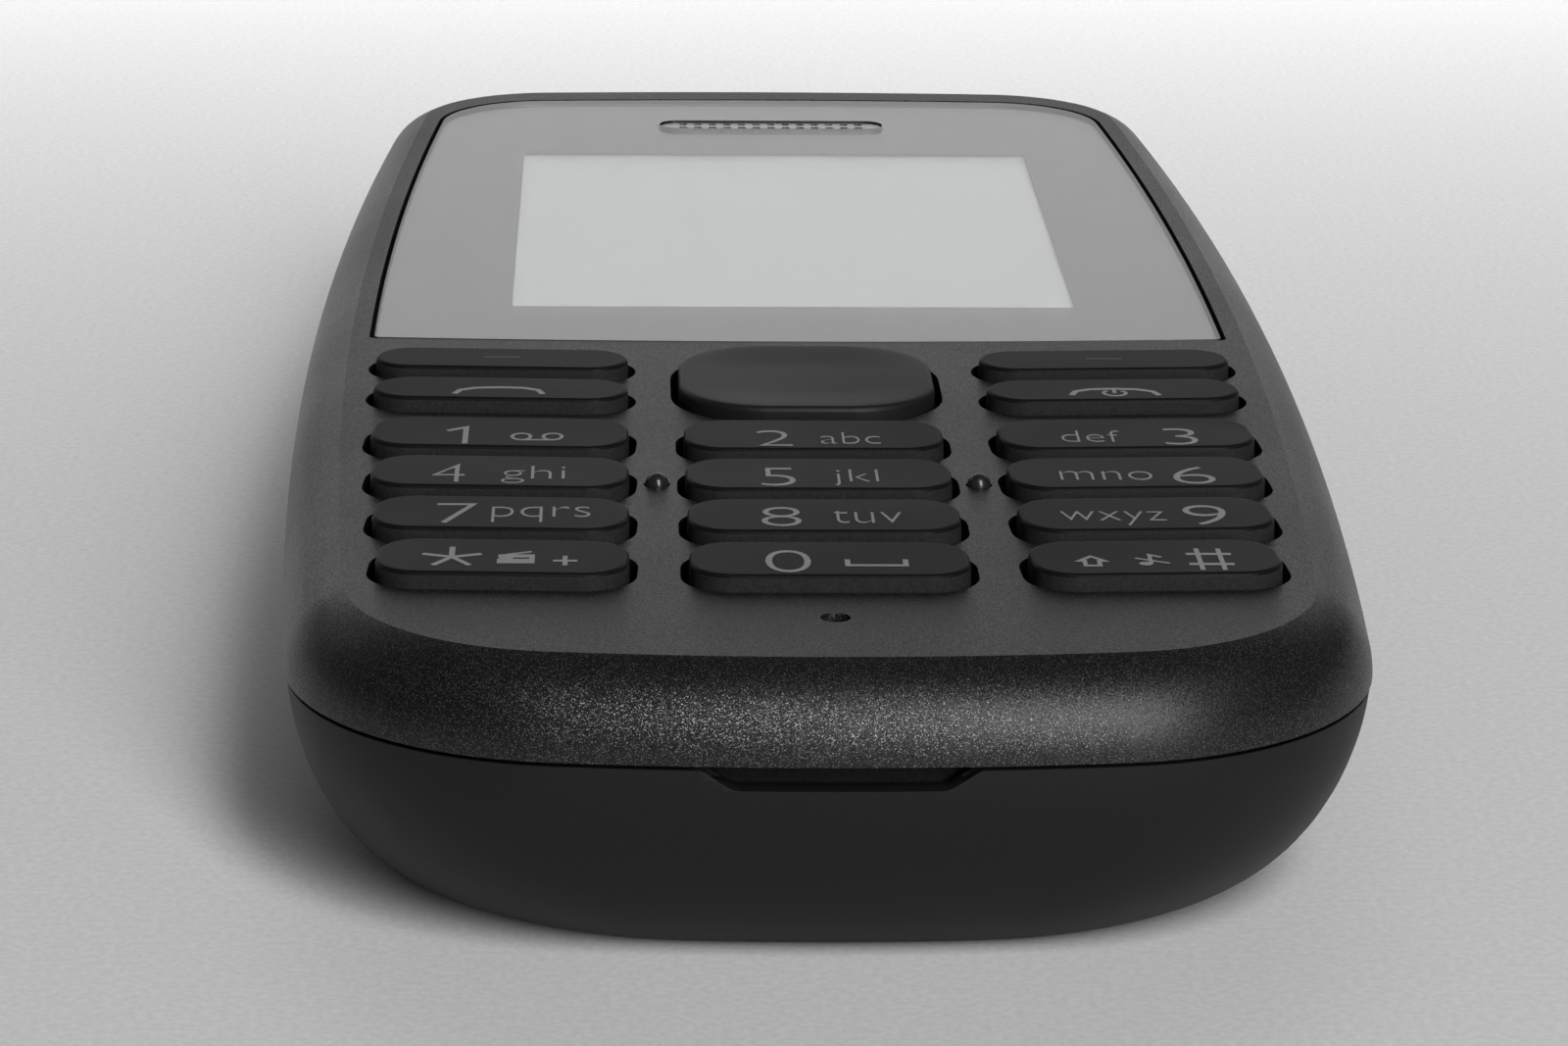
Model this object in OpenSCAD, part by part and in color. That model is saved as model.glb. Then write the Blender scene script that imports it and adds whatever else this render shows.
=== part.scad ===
// Candy-bar feature phone lying on its back.
// X runs across the phone, Y from the microphone end to the top end, Z out of the face.
// The origin is the middle of the back, on the surface that the phone rests on.

/* [Body] */
// Length of the body
body_l = 120; // [112:0.5:128]
// Width of the body at its widest
body_w = 51.3; // [48:0.1:58]
// How far the long sides bulge out
side_bow = 2.9; // [1.7:0.1:4.2]
// How far the microphone end bulges out
near_bow = 3.1; // [1.5:0.1:4.5]
// How far the top end bulges out
far_bow = 1.3; // [0.6:0.1:3]
// Corner radius at the microphone end
near_corner = 13.3; // [11:0.1:15]
// Corner radius at the top end
far_corner = 10.3; // [8.5:0.1:13]
// Depth of the widest line below the face
widest_drop = 3.75; // [3.2:0.05:4.3]
// Depth of the parting line below the face
seam_drop = 4.1; // [3.8:0.05:4.6]
// Open gap along the parting line
seam_gap = 0.12; // [0.08:0.01:0.3]
// Thickness of the side walls
wall = 1.2; // [0.9:0.1:1.5]

/* [Front cover] */
// Thickness of the face over the keypad
face_t = 1.45; // [1.1:0.05:1.9]
// How far the flat face stays in from the long sides
face_in_side = 2.6; // [1.8:0.1:3.2]
// How far the flat face stays in from the microphone end
face_in_near = 2.8; // [2:0.1:3.4]
// How far the flat face stays in from the top end
face_in_far = 3.5; // [2.6:0.1:4]
// Corner radius of the flat face at the microphone end
face_near_corner = 10; // [8:0.1:12]
// Corner radius of the flat face at the top end
face_far_corner = 7.7; // [6:0.1:9]
// Microphone hole diameter
mic_hole_d = 1.3; // [0.8:0.1:1.8]
// Microphone hole distance from the microphone end
mic_y = 8.2; // [7.6:0.1:9]

/* [Rear cover] */
// Thickness of the back
floor_t = 1.2; // [0.9:0.1:1.6]
// How far the flat back stays in from the long sides
back_in_side = 5.6; // [4.5:0.1:6.2]
// How far the flat back stays in from the microphone end
back_in_near = 6.3; // [5:0.1:6.8]
// How far the flat back stays in from the top end
back_in_far = 4.5; // [3.5:0.1:5]
// Corner radius of the flat back
back_corner = 14; // [11:0.1:15]
// Fullness of the curve from the sides to the back
back_power = 1.67; // [1.5:0.01:2.2]
// Width of the finger notch at the parting line
notch_w = 11.1; // [8:0.1:16]
// Depth of the finger notch
notch_d = 0.95; // [0.5:0.05:1.4]
// Slope of the finger notch's ends
notch_run = 1.25; // [0.4:0.05:2]

/* [Keypad] */
// Distance of the lowest key row from the microphone end
key_row_y = 14.65; // [14.3:0.05:16]
// Distance from one number row to the next
key_pitch = 6.7; // [6.6:0.05:7.4]
// Height of a number key's opening
key_d = 5.8; // [5:0.1:5.9]
// Height of the call keys' openings
call_d = 4.6; // [4:0.1:5]
// Height of the soft keys' openings
soft_d = 4.4; // [4:0.1:5.4]
// Band of face between the first number row and the call keys
call_band = 2.75; // [1.6:0.05:3.4]
// Band of face between the call keys and the soft keys
soft_band = 1.25; // [1:0.05:3.2]
// Width of the openings in the middle column
column_w = 13; // [11.5:0.1:14]
// Band of face between the columns
column_band = 2; // [1.9:0.05:2.6]
// Band of face between the outer openings and the edge of the flat face
key_margin = 1.15; // [1.05:0.05:1.6]
// Corner radius of a key's opening
key_corner = 2.25; // [1.4:0.05:2.25]
// Radius of the arc that the key rows follow
row_arc_r = 330; // [260:5:600]
// Clearance between a key and its opening
key_gap = 0.22; // [0.15:0.01:0.3]
// Height of the keys above the face
key_h = 0.7; // [0.4:0.05:1]
// Travel of a key
key_travel = 0.4; // [0.25:0.05:0.6]
// Thickness of the flange that holds a key behind the face
flange_t = 0.6; // [0.4:0.05:0.9]
// How far the flange reaches behind the face
flange_lip = 0.3; // [0.2:0.02:0.36]
// Diameter of the post under a key
post_d = 2.4; // [1.6:0.1:3]
// How far the middle key's opening passes the call keys' edge
nav_over = 1.2; // [0.6:0.05:2]
// How far the middle key's opening stays short of the soft keys' edge, negative where it passes it
nav_short = -1.15; // [-1.6:0.05:1.2]
// Corner radius of the middle key's opening
nav_corner = 4.6; // [3.5:0.1:5.8]
// Diameter of the two round pins between the columns
pin_d = 1.1; // [0.7:0.05:1.15]
// Height of the pins above the face
pin_h = 0.55; // [0.2:0.05:0.65]
// Thickness of the rubber mat
mat_t = 0.3; // [0.2:0.05:0.45]

/* [Display] */
// Thickness of the display window
window_t = 1.1; // [0.8:0.05:1.4]
// Band of face between the window and the edge of the flat face
window_margin = 1.05; // [0.9:0.05:1.6]
// Band of face between the soft keys and the window
window_band = 3.9; // [1.6:0.05:4.4]
// Distance of the window from the top end of the flat face
window_far = 2.3; // [1.6:0.1:3.4]
// Corner radius of the window at the soft keys
window_near_corner = 0.8; // [0.5:0.1:2]
// Corner radius of the window at the top end
window_far_corner = 6.6; // [5:0.1:8]
// Clearance around the window
window_gap = 0.12; // [0.08:0.01:0.2]
// Thickness of the window's adhesive
glue_t = 0.1; // [0.05:0.01:0.2]
// Thickness of the ledge that carries the window
ledge_t = 0.9; // [0.7:0.05:1.2]
// Width of the display's visible area
screen_w = 29.9; // [27:0.1:32]
// Height of the display's visible area
screen_h = 37.1; // [34:0.1:39]
// How far the middle of the visible area sits below the window's middle
screen_y = 3; // [2:0.1:4.5]
// Border of the display module around its visible area
lcd_border = 1.8; // [1.4:0.1:2.2]
// Thickness of the display module
lcd_t = 1.7; // [1.3:0.05:2]
// Thickness of the display's foam gasket
gasket_t = 0.2; // [0.1:0.05:0.4]
// Thickness of the foam under the display
cushion_t = 0.15; // [0.1:0.05:0.4]
// Width of the earpiece slot
ear_w = 13.6; // [10:0.1:15]
// Height of the earpiece slot
ear_d = 2.2; // [1.6:0.1:2.8]
// Distance of the earpiece slot from the visible area
ear_y = 7.1; // [6.2:0.1:8]
// Width of the earpiece receiver
receiver_w = 12; // [10:0.1:13]
// Height of the earpiece receiver's outline
receiver_d = 6; // [5:0.1:6.6]

/* [Inside] */
// Battery width
battery_w = 34; // [31:0.5:36]
// Battery length
battery_l = 53; // [48:0.5:55]
// Battery thickness
battery_t = 5; // [4:0.1:6]
// Distance of the battery from the microphone end
battery_y = 18; // [17:0.1:20]
// Clearance around the battery
battery_gap = 0.3; // [0.2:0.05:0.5]
// Width of a battery contact
contact_w = 2; // [1.4:0.1:2.6]
// Distance from one battery contact to the next
contact_pitch = 4; // [3.2:0.1:5]
// Height of the battery contacts above the battery's lower face
contact_z = 2; // [1.6:0.1:2.6]
// Thickness of the chassis plate
plate_t = 0.8; // [0.6:0.05:1.2]
// Thickness of the chassis walls
rib_t = 1; // [0.8:0.05:1.2]
// Clearance between the chassis and the covers
chassis_gap = 0.8; // [0.6:0.05:1]
// Height of the shield cans
can_h = 1.2; // [0.9:0.05:1.6]
// Sheet thickness of the shield cans
can_t = 0.25; // [0.15:0.01:0.3]
// Width of the radio's shield can
radio_can_w = 26; // [20:0.5:30]
// Length of the radio's shield can
radio_can_l = 16; // [12:0.5:20]
// Distance of the radio's shield can from the battery's lower edge
radio_can_y = 4; // [2:0.5:6]
// Width of the processor's shield can
processor_can_w = 28; // [22:0.5:32]
// Length of the processor's shield can
processor_can_l = 22; // [16:0.5:26]
// Distance of the processor's shield can from the battery's lower edge
processor_can_y = 28; // [26:0.5:34]
// Width of the card reader
sim_w = 15; // [13:0.1:16]
// Length of the card reader
sim_l = 17; // [14:0.1:18]
// Height of the card reader
sim_h = 1.5; // [1.2:0.05:1.8]
// Wall of the card reader's ends
sim_wall = 1; // [0.6:0.1:1.4]
// Distance of the card reader from the battery bay
sim_gap = 2; // [1.6:0.1:3]
// Thickness of the circuit board
board_t = 0.8; // [0.6:0.05:1.2]
// Height of the snap domes
dome_h = 0.4; // [0.3:0.02:0.5]
// Gap left between seated pieces
fit = 0.05; // [0.03:0.01:0.08]
// Headset jack bore diameter
jack_d = 3.6; // [3.5:0.05:3.8]
// Headset jack length
jack_l = 12.4; // [11:0.1:14]
// Headset jack place across the body
jack_x = 9; // [8:0.1:11]
// Charging socket place across the body
usb_x = -10; // [-12:0.1:-8]
// Charging socket width
usb_w = 7.8; // [7:0.1:8.4]
// Charging socket height
usb_h = 2.8; // [2.4:0.1:3]
// Headset jack width
jack_w = 6.4; // [6:0.1:7]
// Headset jack height
jack_h = 5; // [4.8:0.1:5.4]
// Microphone diameter
mic_d = 4; // [3:0.1:4.4]
// Microphone height
mic_h = 1.4; // [1.1:0.05:1.6]
// Vibration motor diameter
motor_d = 8; // [7:0.1:9]
// Vibration motor height
motor_h = 2.6; // [2:0.1:3]
// Distance of the vibration motor from the card reader
motor_gap = 0.6; // [0.4:0.05:1]
// Distance of the vibration motor's middle from the long side
motor_in = 12.65; // [11.5:0.05:14]
// Distance of the loudspeaker's middle from the long side
speaker_in = 14.65; // [13:0.05:16]
// Distance of the loudspeaker from the headset jack
speaker_gap = 1; // [0.5:0.1:2]
// Loudspeaker diameter
speaker_d = 13; // [11:0.1:14]
// Length of the slots over the loudspeaker
slot_l = 8; // [6:0.1:9]
// Width of the slots over the loudspeaker
slot_w = 1.1; // [0.8:0.05:1.4]
// Distance from one slot to the next
slot_pitch = 2.4; // [2:0.1:3]
// Loudspeaker height
speaker_h = 3.4; // [2.4:0.1:3.8]
// Antenna width
antenna_w = 18; // [14:0.5:22]
// Width of the antenna's slots
antenna_slot = 1.4; // [0.8:0.1:1.6]
// Width of the antenna's tracks
antenna_track = 1.6; // [1.2:0.1:1.7]
// Distance of the lower screws from the middle
screw_x = 13; // [11.5:0.1:14]
// Distance of the lower screws from the microphone end
screw_y = 8; // [7.6:0.1:8.6]
// Distance of the middle screws from the window's lower edge
screw_mid_y = 7.5; // [5:0.1:9]
// Distance of the upper screws from the edge of the flat face
screw_in = 4.5; // [3.8:0.1:5]
// Distance of the upper screws from the earpiece
screw_ear_y = 2.9; // [1.5:0.1:4]
// Screw diameter
screw_d = 1.6; // [1.2:0.05:1.8]
// Screw head diameter
screw_head_d = 2.8; // [2.4:0.1:3.2]
// Screw head height
screw_head_h = 0.8; // [0.5:0.05:1]

/* [Hidden] */
$fn = 40;
near_y = -body_l / 2;
far_y = body_l / 2;

// Heights of the stack, from the back up to the face
battery_z = floor_t + battery_gap;
plate_z = battery_z + battery_t + battery_gap;
can_z = plate_z + plate_t + fit;
board_z = can_z + can_h + fit;
board_top = board_z + board_t;
dome_top = board_top + dome_h;
post_z = dome_top + key_travel + 0.1;
mat_room = 0.15;
key_stack = post_z + 0.3 + mat_t + key_travel + mat_room + flange_t + 0.2 + face_t;
lcd_stack = board_top + 2 * fit + cushion_t + fit + lcd_t + gasket_t + ledge_t + glue_t + window_t;
face_z = max(key_stack, lcd_stack);
under_z = face_z - face_t;
flange_z = under_z - 0.2 - flange_t;
mat_z = flange_z - key_travel - mat_room - mat_t;
ledge_top = face_z - window_t - glue_t;
ledge_z = ledge_top - ledge_t;
lcd_z = ledge_z - gasket_t - lcd_t;
key_top = face_z + key_h;
seam_z = face_z - seam_drop;
widest_z = face_z - widest_drop;
rim_z = ledge_z - 0.5;

// Plan of the body: half widths and radii of its three main outlines
half_w = body_w / 2;
face_w = half_w - face_in_side;
face_near = near_y + face_in_near;
face_far = far_y - face_in_far;
side_r = bow_r(body_l / 2, side_bow);
near_r = bow_r(half_w, near_bow);
far_r = bow_r(half_w, far_bow);

// Plan of the keypad
row_y = [for (i = [0:3]) near_y + key_row_y + i * key_pitch];
call_y = row_y[3] + key_d / 2 + call_band + call_d / 2;
soft_y = call_y + call_d / 2 + soft_band + soft_d / 2;
column_in = column_w / 2 + column_band;
nav_near = call_y - call_d / 2 - nav_over;
nav_far = soft_y + soft_d / 2 - nav_short;
nav_y = (nav_near + nav_far) / 2;
nav_w = column_w + 0.3;
nav_d = nav_far - nav_near;
pin_x = column_w / 2 + column_band / 2;
pin_y = row_y[2] + 0.4;
mat_near = row_y[0] - key_d / 2 - flange_lip - 0.4;
mat_far = soft_y + soft_d / 2 + flange_lip + 0.4;

// Plan of the display
window_near = soft_y + soft_d / 2 + window_band;
window_top = face_far - window_far;
screen_mid = (window_near + window_top) / 2 - screen_y;
screen_far = screen_mid + screen_h / 2;
open_w = screen_w + 1;
open_h = screen_h + 1;
lcd_w = screen_w + 2 * lcd_border;
lcd_h = screen_h + 2 * lcd_border;
ear_mid = screen_far + ear_y;

// Plan of the inside
chassis_in = wall + chassis_gap;
board_in = chassis_in + rib_t + 0.4;
battery_near = near_y + battery_y;
battery_far = battery_near + battery_l;
bay_wall = battery_gap + rib_t;
port_y = far_y - chassis_in - 0.2;
jack_z = plate_z - 1;
board_far = port_y - 5.6;
usb_z = board_z - fit - usb_h;
speaker_x = half_w - speaker_in;
speaker_y = port_y - jack_l - speaker_gap - speaker_d / 2;
sim_y = battery_far + bay_wall + sim_gap;
motor_x = motor_in - half_w;
motor_y = sim_y + sim_l + motor_gap + motor_d / 2;
screw_z = ledge_z - 0.3;
boss_d = screw_d + 2;
screw_xy = [
    [screw_x, near_y + screw_y],
    [battery_w / 2 + bay_wall + screw_head_d / 2 + 0.3, window_near + screw_mid_y],
    [face_w - screw_in, ear_mid - screw_ear_y],
];

// Radius of an arc from its half chord and its bulge
function bow_r(half, bow) = (half * half + bow * bow) / (2 * bow);

// Points of an arc without its last one
function arc(c, r, a, b, n) = [for (i = [0:n - 1]) let (g = a + (b - a) * i / n) c + r * [cos(g), sin(g)]];

// Centre of a corner circle that touches two larger arcs from inside, on the right-hand side
function corner_at(c, r, e, q, up) =
    let (v = e - c, d = norm(v), x = (r * r - q * q + d * d) / (2 * d))
    let (h = sqrt(r * r - x * x), u = v / d, n = [-u[1], u[0]])
    let (p = c + u * x + n * h, m = c + u * x - n * h)
    (p[0] + up * p[1] > m[0] + up * m[1]) ? p : m;

function heading(v) = atan2(v[1], v[0]);

// Right half of an outline with bulging sides and ends, from the middle of one end to the other
function half_outline(w, y0, y1, rs, r0, r1, c0, c1) =
    let (s = [w - rs, 0], e = [0, y0 + r0], f = [0, y1 - r1])
    let (p = corner_at(s, rs - c0, e, r0 - c0, -1), q = corner_at(s, rs - c1, f, r1 - c1, 1))
    concat(
        arc(e, r0, -90, heading(p - e), 8),
        arc(p, c0, heading(p - e), heading(p - s), 9),
        arc(s, rs, heading(p - s), heading(q - s), 10),
        arc(q, c1, heading(q - s), heading(q - f), 8),
        arc(f, r1, heading(q - f), 90, 6),
        [[0, y1]]);

function mirrored(h) = concat(h, [for (i = [len(h) - 2:-1:1]) [-h[i][0], h[i][1]]]);

// The body's widest outline, the flat face's and the flat back's, each moved in by the same amount
function body_line(i) = mirrored(half_outline(half_w - i, near_y + i, far_y - i,
    side_r - i, near_r - i, far_r - i, near_corner - i, far_corner - i));
function face_line(i) = mirrored(half_outline(face_w - i, face_near + i, face_far - i,
    side_r - i, near_r - i, far_r - i, face_near_corner - i, face_far_corner - i));
function back_line() = mirrored(half_outline(half_w - back_in_side,
    near_y + back_in_near, far_y - back_in_far,
    side_r, near_r, far_r, back_corner, back_corner));
function window_line(i) = mirrored(half_outline(face_w - window_margin - i, window_near + i, window_top - i,
    side_r - i, row_arc_r, far_r - i, window_near_corner, window_far_corner - i));

// Half width of the flat face at a place along the body
function face_half(y) = face_w - side_r + sqrt(side_r * side_r - y * y);

// A ring between two outlines at a height
function ring(a, b, s, z) = [for (i = [0:len(a) - 1]) [each (a[i] + (b[i] - a[i]) * s), z]];

// How far the front's side has closed in at a height, from 0 at the widest line to 1 at the face
function front_close(z) =
    let (t = max(0, (z - widest_z) / widest_drop), k = 0.92)
    (1 - sqrt(1 - k * k * t * t)) / (1 - sqrt(1 - k * k));

// Rings of the front's outside, or of its inside for i above 0
function front_rings(i, z0, z1, n) =
    let (a = body_line(i), b = face_line(i))
    [for (k = [0:n]) let (z = z0 + (z1 - z0) * k / n) ring(a, b, front_close(z), z)];

// Rings of the back's outside, or of its inside for i above 0, from the flat back to a height
function back_rings(i, z0, z1, n) =
    let (a = body_line(i), b = back_line(), h = widest_z - z0, p = 2 / back_power)
    let (a0 = asin(pow((widest_z - min(z1, widest_z)) / h, 1 / p)))
    [for (k = [n:-1:0]) let (g = a0 + (90 - a0) * k / n)
        ring(a, b, 1 - pow(cos(g), p), widest_z - h * pow(sin(g), p))];

// The outline at a height inside the dished back, moved in from the inner wall by the same amount all round
function dish_line(i, z) =
    let (a = body_line(i), b = back_line(), p = 2 / back_power)
    let (g = asin(pow((widest_z - z) / (widest_z - floor_t), 1 / p)), s = 1 - pow(cos(g), p))
    [for (k = [0:len(a) - 1]) a[k] + (b[k] - a[k]) * s];

// Outline of a rectangle with round corners
function round_rect(l, d, r, n) = [for (q = [0:3], i = [0:n])
    let (sx = (q == 0 || q == 3) ? 1 : -1, sy = (q < 2) ? 1 : -1, g = 90 * (q + i / n))
    [sx * (l / 2 - r) + r * cos(g), sy * (d / 2 - r) + r * sin(g)]];

// Solid through a list of rings
module loft(rings) {
    n = len(rings[0]);
    m = len(rings);
    points = [for (r = rings) each r];
    sides = [for (k = [0:m - 2], i = [0:n - 1]) let (j = (i + 1) % n, a = k * n, b = a + n)
        each [[a + i, b + i, b + j], [a + i, b + j, a + j]]];
    bottom = [for (i = [0:n - 1]) i];
    top = [for (i = [n - 1:-1:0]) (m - 1) * n + i];
    polyhedron(points, concat([bottom], sides, [top]));
}

module slab(z0, z1) {
    translate([0, 0, z0]) linear_extrude(z1 - z0) children();
}

module block(x0, x1, y0, y1, z0, z1) {
    translate([x0, y0, z0]) cube([x1 - x0, y1 - y0, z1 - z0]);
}

// A block centred across
module bar(w, y0, y1, z0, z1) {
    block(-w / 2, w / 2, y0, y1, z0, z1);
}

module at_usb() {
    translate([usb_x, 0, 0]) children();
}

module at_jack() {
    translate([jack_x, 0, 0]) children();
}

// A round bar along the body through the headset jack's middle
module jack_bar(d, y0, y1) {
    at_jack() translate([0, y0, jack_z]) rotate([-90, 0, 0]) cylinder(d = d, h = y1 - y0);
}

module rod(d, x, y, z0, z1) {
    translate([x, y, z0]) cylinder(d = d, h = z1 - z0);
}

module rounded(l, d, r) {
    square([l - 2 * r, d], center = true);
    square([l, d - 2 * r], center = true);
    for (x = [-1, 1], y = [-1, 1]) translate([x * (l / 2 - r), y * (d / 2 - r)]) circle(r);
}

module both_sides() {
    children();
    mirror([1, 0, 0]) children();
}

// Middle, length and turn of an outer key's opening in the row at y
function side_out(y) = face_half(y) - key_margin;
function side_x(y) = (column_in + side_out(y)) / 2;
function side_l(y) = side_out(y) - column_in;
function arc_rise(x) = x * x / (2 * row_arc_r);
function arc_turn(x) = atan(x / row_arc_r);

// Puts a child at an outer key on one side of the row at y
module at_side(side, y) {
    x = side_x(y);
    translate([side * x, y + arc_rise(x), 0]) rotate([0, 0, side * arc_turn(x)]) children();
}

// A key: cap with a rounded upper edge, flange behind the face and post
module key_solid(l, d, r) {
    w = l - 2 * key_gap;
    h = d - 2 * key_gap;
    c = r - key_gap;
    mid = flange_z + flange_t / 2;
    steps = [[mid, 0], [key_top - 0.34, 0], [key_top - 0.12, 0.09], [key_top, 0.36]];
    loft([for (s = steps) let (i = s[1])
        [for (p = round_rect(w - 2 * i, h - 2 * i, c - i, 7)) [each p, s[0]]]]);
    slab(flange_z, flange_z + flange_t) rounded(l + 2 * flange_lip, d + 2 * flange_lip, r + flange_lip);
    rod(post_d, 0, 0, post_z, mid);
}

module side_key(side, y, d) {
    color("#1c1c1e") at_side(side, y) key_solid(side_l(y), d, min(key_corner, d / 2 - 0.05));
}

module middle_key(row) {
    color("#1c1c1e") translate([0, row_y[row], 0]) key_solid(column_w, key_d, key_corner);
}

// Openings for all keys
module key_openings() {
    for (side = [-1, 1]) {
        for (y = row_y) at_side(side, y) rounded(side_l(y), key_d, key_corner);
        at_side(side, call_y) rounded(side_l(call_y), call_d, key_corner);
        at_side(side, soft_y) rounded(side_l(soft_y), soft_d, key_corner);
    }
    for (y = row_y) translate([0, y]) rounded(column_w, key_d, key_corner);
    translate([0, nav_y]) rounded(nav_w, nav_d, nav_corner);
}

// Middles of all key posts
module at_posts() {
    for (side = [-1, 1], y = concat(row_y, [call_y, soft_y])) at_side(side, y) children();
    for (y = row_y) translate([0, y, 0]) children();
}

module rear_cover() {
    color("#232325") difference() {
        loft(back_rings(0, 0, seam_z, 10));
        loft(back_rings(wall, floor_t, seam_z + 0.6, 8));
        translate([0, near_y + 5, seam_z]) rotate([90, 0, 0]) linear_extrude(8)
            polygon([for (p = [[-1, 1], [1, 1], [1, -notch_d], [-1, -notch_d]])
                [p[0] * (notch_w / 2 + (p[1] > 0 ? notch_run / notch_d : -notch_run)), p[1]]]);
        for (i = [-1:1]) translate([speaker_x, speaker_y + slot_pitch * i, -1])
            slab(0, floor_t + 2) rounded(slot_l, slot_w, slot_w / 2 - 0.05);
        jack_bar(jack_d + 1.9, far_y - 5, far_y + 3);
        at_usb() bar(usb_w + 1, far_y - 5, far_y + 3, usb_z - 0.3, seam_z + 1);
    }
}

module front_cover() {
    color("#3c3c3f") difference() {
        union() {
            difference() {
                loft(front_rings(0, seam_z + seam_gap, face_z, 7));
                intersection() {
                    loft(front_rings(wall, seam_z - 0.5, under_z, 5));
                    union() {
                        block(-half_w, half_w, near_y, window_near - 1.2, 0, under_z + 1);
                        block(-half_w, half_w, near_y, far_y, 0, ledge_z);
                    }
                }
            }
            for (p = screw_xy) both_sides() rod(boss_d, p[0], p[1], board_top + fit, under_z + 0.2);
        }
        slab(under_z - 0.5, face_z + 1) key_openings();
        slab(ledge_top, face_z + 1) polygon(window_line(-window_gap));
        translate([0, screen_mid, 0]) slab(ledge_z - 1, face_z) rounded(open_w, open_h, 1);
        translate([0, ear_mid, 0]) slab(ledge_z - 1, face_z) rounded(ear_w + 0.4, ear_d + 0.8, 1);
        rod(mic_hole_d, 0, near_y + mic_y, under_z - 1, face_z + 1);
        both_sides() rod(pin_d + 0.14, pin_x, pin_y, under_z - 1, face_z + 1);
        for (p = screw_xy) both_sides() rod(screw_d + 0.1, p[0], p[1], board_top - 1, screw_z + 0.15);
    }
}

module at_contacts() {
    for (i = [-1:1]) translate([contact_pitch * i, 0, 0]) children();
}

// Plan of the battery, larger all round by a margin
module bay_plan(more) {
    translate([0, (battery_near + battery_far) / 2])
        square([battery_w + 2 * more, battery_l + 2 * more], center = true);
}

module chassis() {
    color("#2b2b2e") difference() {
        union() {
            slab(plate_z, plate_z + plate_t) polygon(dish_line(chassis_in, plate_z));
            slab(plate_z + plate_t * 0.8, rim_z) difference() {
                polygon(body_line(chassis_in));
                polygon(body_line(chassis_in + rib_t));
            }
            slab(battery_z + 0.7, plate_z + plate_t / 2) difference() {
                bay_plan(bay_wall);
                bay_plan(battery_gap);
            }
            for (p = screw_xy) both_sides() rod(boss_d, p[0], p[1], plate_z + plate_t / 2, board_z - fit);
        }
        for (p = screw_xy) both_sides() rod(screw_d + 0.2, p[0], p[1], plate_z - 1, board_z + 1);
        at_jack() bar(jack_w + 0.4, port_y - jack_l - 0.2, far_y, plate_z - 1, jack_z + jack_h / 2 + 0.2);
        at_usb() bar(usb_w + 0.4, board_far - 1.6, far_y, plate_z - 1, board_z + fit);
        at_contacts() bar(contact_w + 0.4, battery_far + battery_gap - 0.5, battery_far + bay_wall + 0.5,
            battery_z + contact_z - 0.5, battery_z + contact_z + 2);
    }
}

module display_window() {
    color("#4a4c50") difference() {
        slab(ledge_top + glue_t, face_z) polygon(window_line(0));
        translate([0, ear_mid, 0]) slab(ledge_top - 1, face_z + 1) rounded(ear_w, ear_d, ear_d / 2 - 0.02);
    }
}

module window_adhesive() {
    color("#151515") difference() {
        slab(ledge_top + glue_t * 0.1, ledge_top + glue_t * 0.9) polygon(window_line(0.5));
        translate([0, screen_mid, 0]) slab(0, face_z) rounded(open_w + 0.4, open_h + 0.4, 1.2);
        translate([0, ear_mid, 0]) slab(0, face_z) rounded(ear_w + 1, ear_d + 1.4, 1.2);
    }
}

module earpiece_grille() {
    color("#2e2f31") difference() {
        translate([0, ear_mid, 0]) slab(ledge_top + fit, face_z - 0.12)
            rounded(ear_w - 0.2, ear_d - 0.2, ear_d / 2 - 0.12);
        for (i = [-6:6], j = [-1, 1]) rod(0.5, i * (ear_w - 2) / 13, ear_mid + j * ear_d / 5, 0, face_z);
    }
}

module earpiece_receiver() {
    color("#8a8d92") {
        translate([0, ear_mid, 0]) slab(board_top + fit, ledge_z - 0.3)
            rounded(receiver_w, receiver_d, receiver_d * 0.4);
        translate([0, ear_mid, 0]) slab(ledge_z - 0.31, ledge_z - fit) difference() {
            rounded(receiver_w - 1, receiver_d - 1, receiver_d * 0.4 - 0.4);
            rounded(receiver_w - 3, receiver_d - 3, receiver_d * 0.4 - 1.2);
        }
    }
}

module lcd_module() {
    color("#aab4bd") translate([0, screen_mid, 0]) {
        slab(lcd_z, lcd_z + lcd_t * 0.6) rounded(lcd_w, lcd_h, 0.6);
        slab(lcd_z + lcd_t * 0.59, lcd_z + lcd_t - fit) rounded(screen_w + 1.4, screen_h + 1.4, 0.4);
        slab(lcd_z + lcd_t * 0.9, ledge_top - 0.1) rounded(screen_w + 0.6, screen_h + 0.6, 0.8);
    }
}

module lcd_gasket() {
    color("#101010") translate([0, screen_mid, 0]) slab(lcd_z + lcd_t, ledge_z - fit) difference() {
        rounded(open_w + 2, open_h + 2, 1.4);
        rounded(open_w, open_h, 1);
    }
}

module lcd_cushion() {
    color("#303030") translate([0, screen_mid, 0]) slab(board_top + fit, lcd_z - fit)
        rounded(lcd_w - 4, lcd_h - 4, 2);
}

module lcd_flex() {
    y = screen_mid - lcd_h / 2;
    color("#c07a2c") {
        block(-7, 7, y - 2.2, y - fit, lcd_z + 0.2, lcd_z + 0.35);
        block(-7, 7, y - 2.2, y - 2.05, board_top + fit, lcd_z + 0.35);
        block(-5, 5, y - 2.2, y - 0.3, board_top + fit, board_top + 0.2);
    }
}

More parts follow.
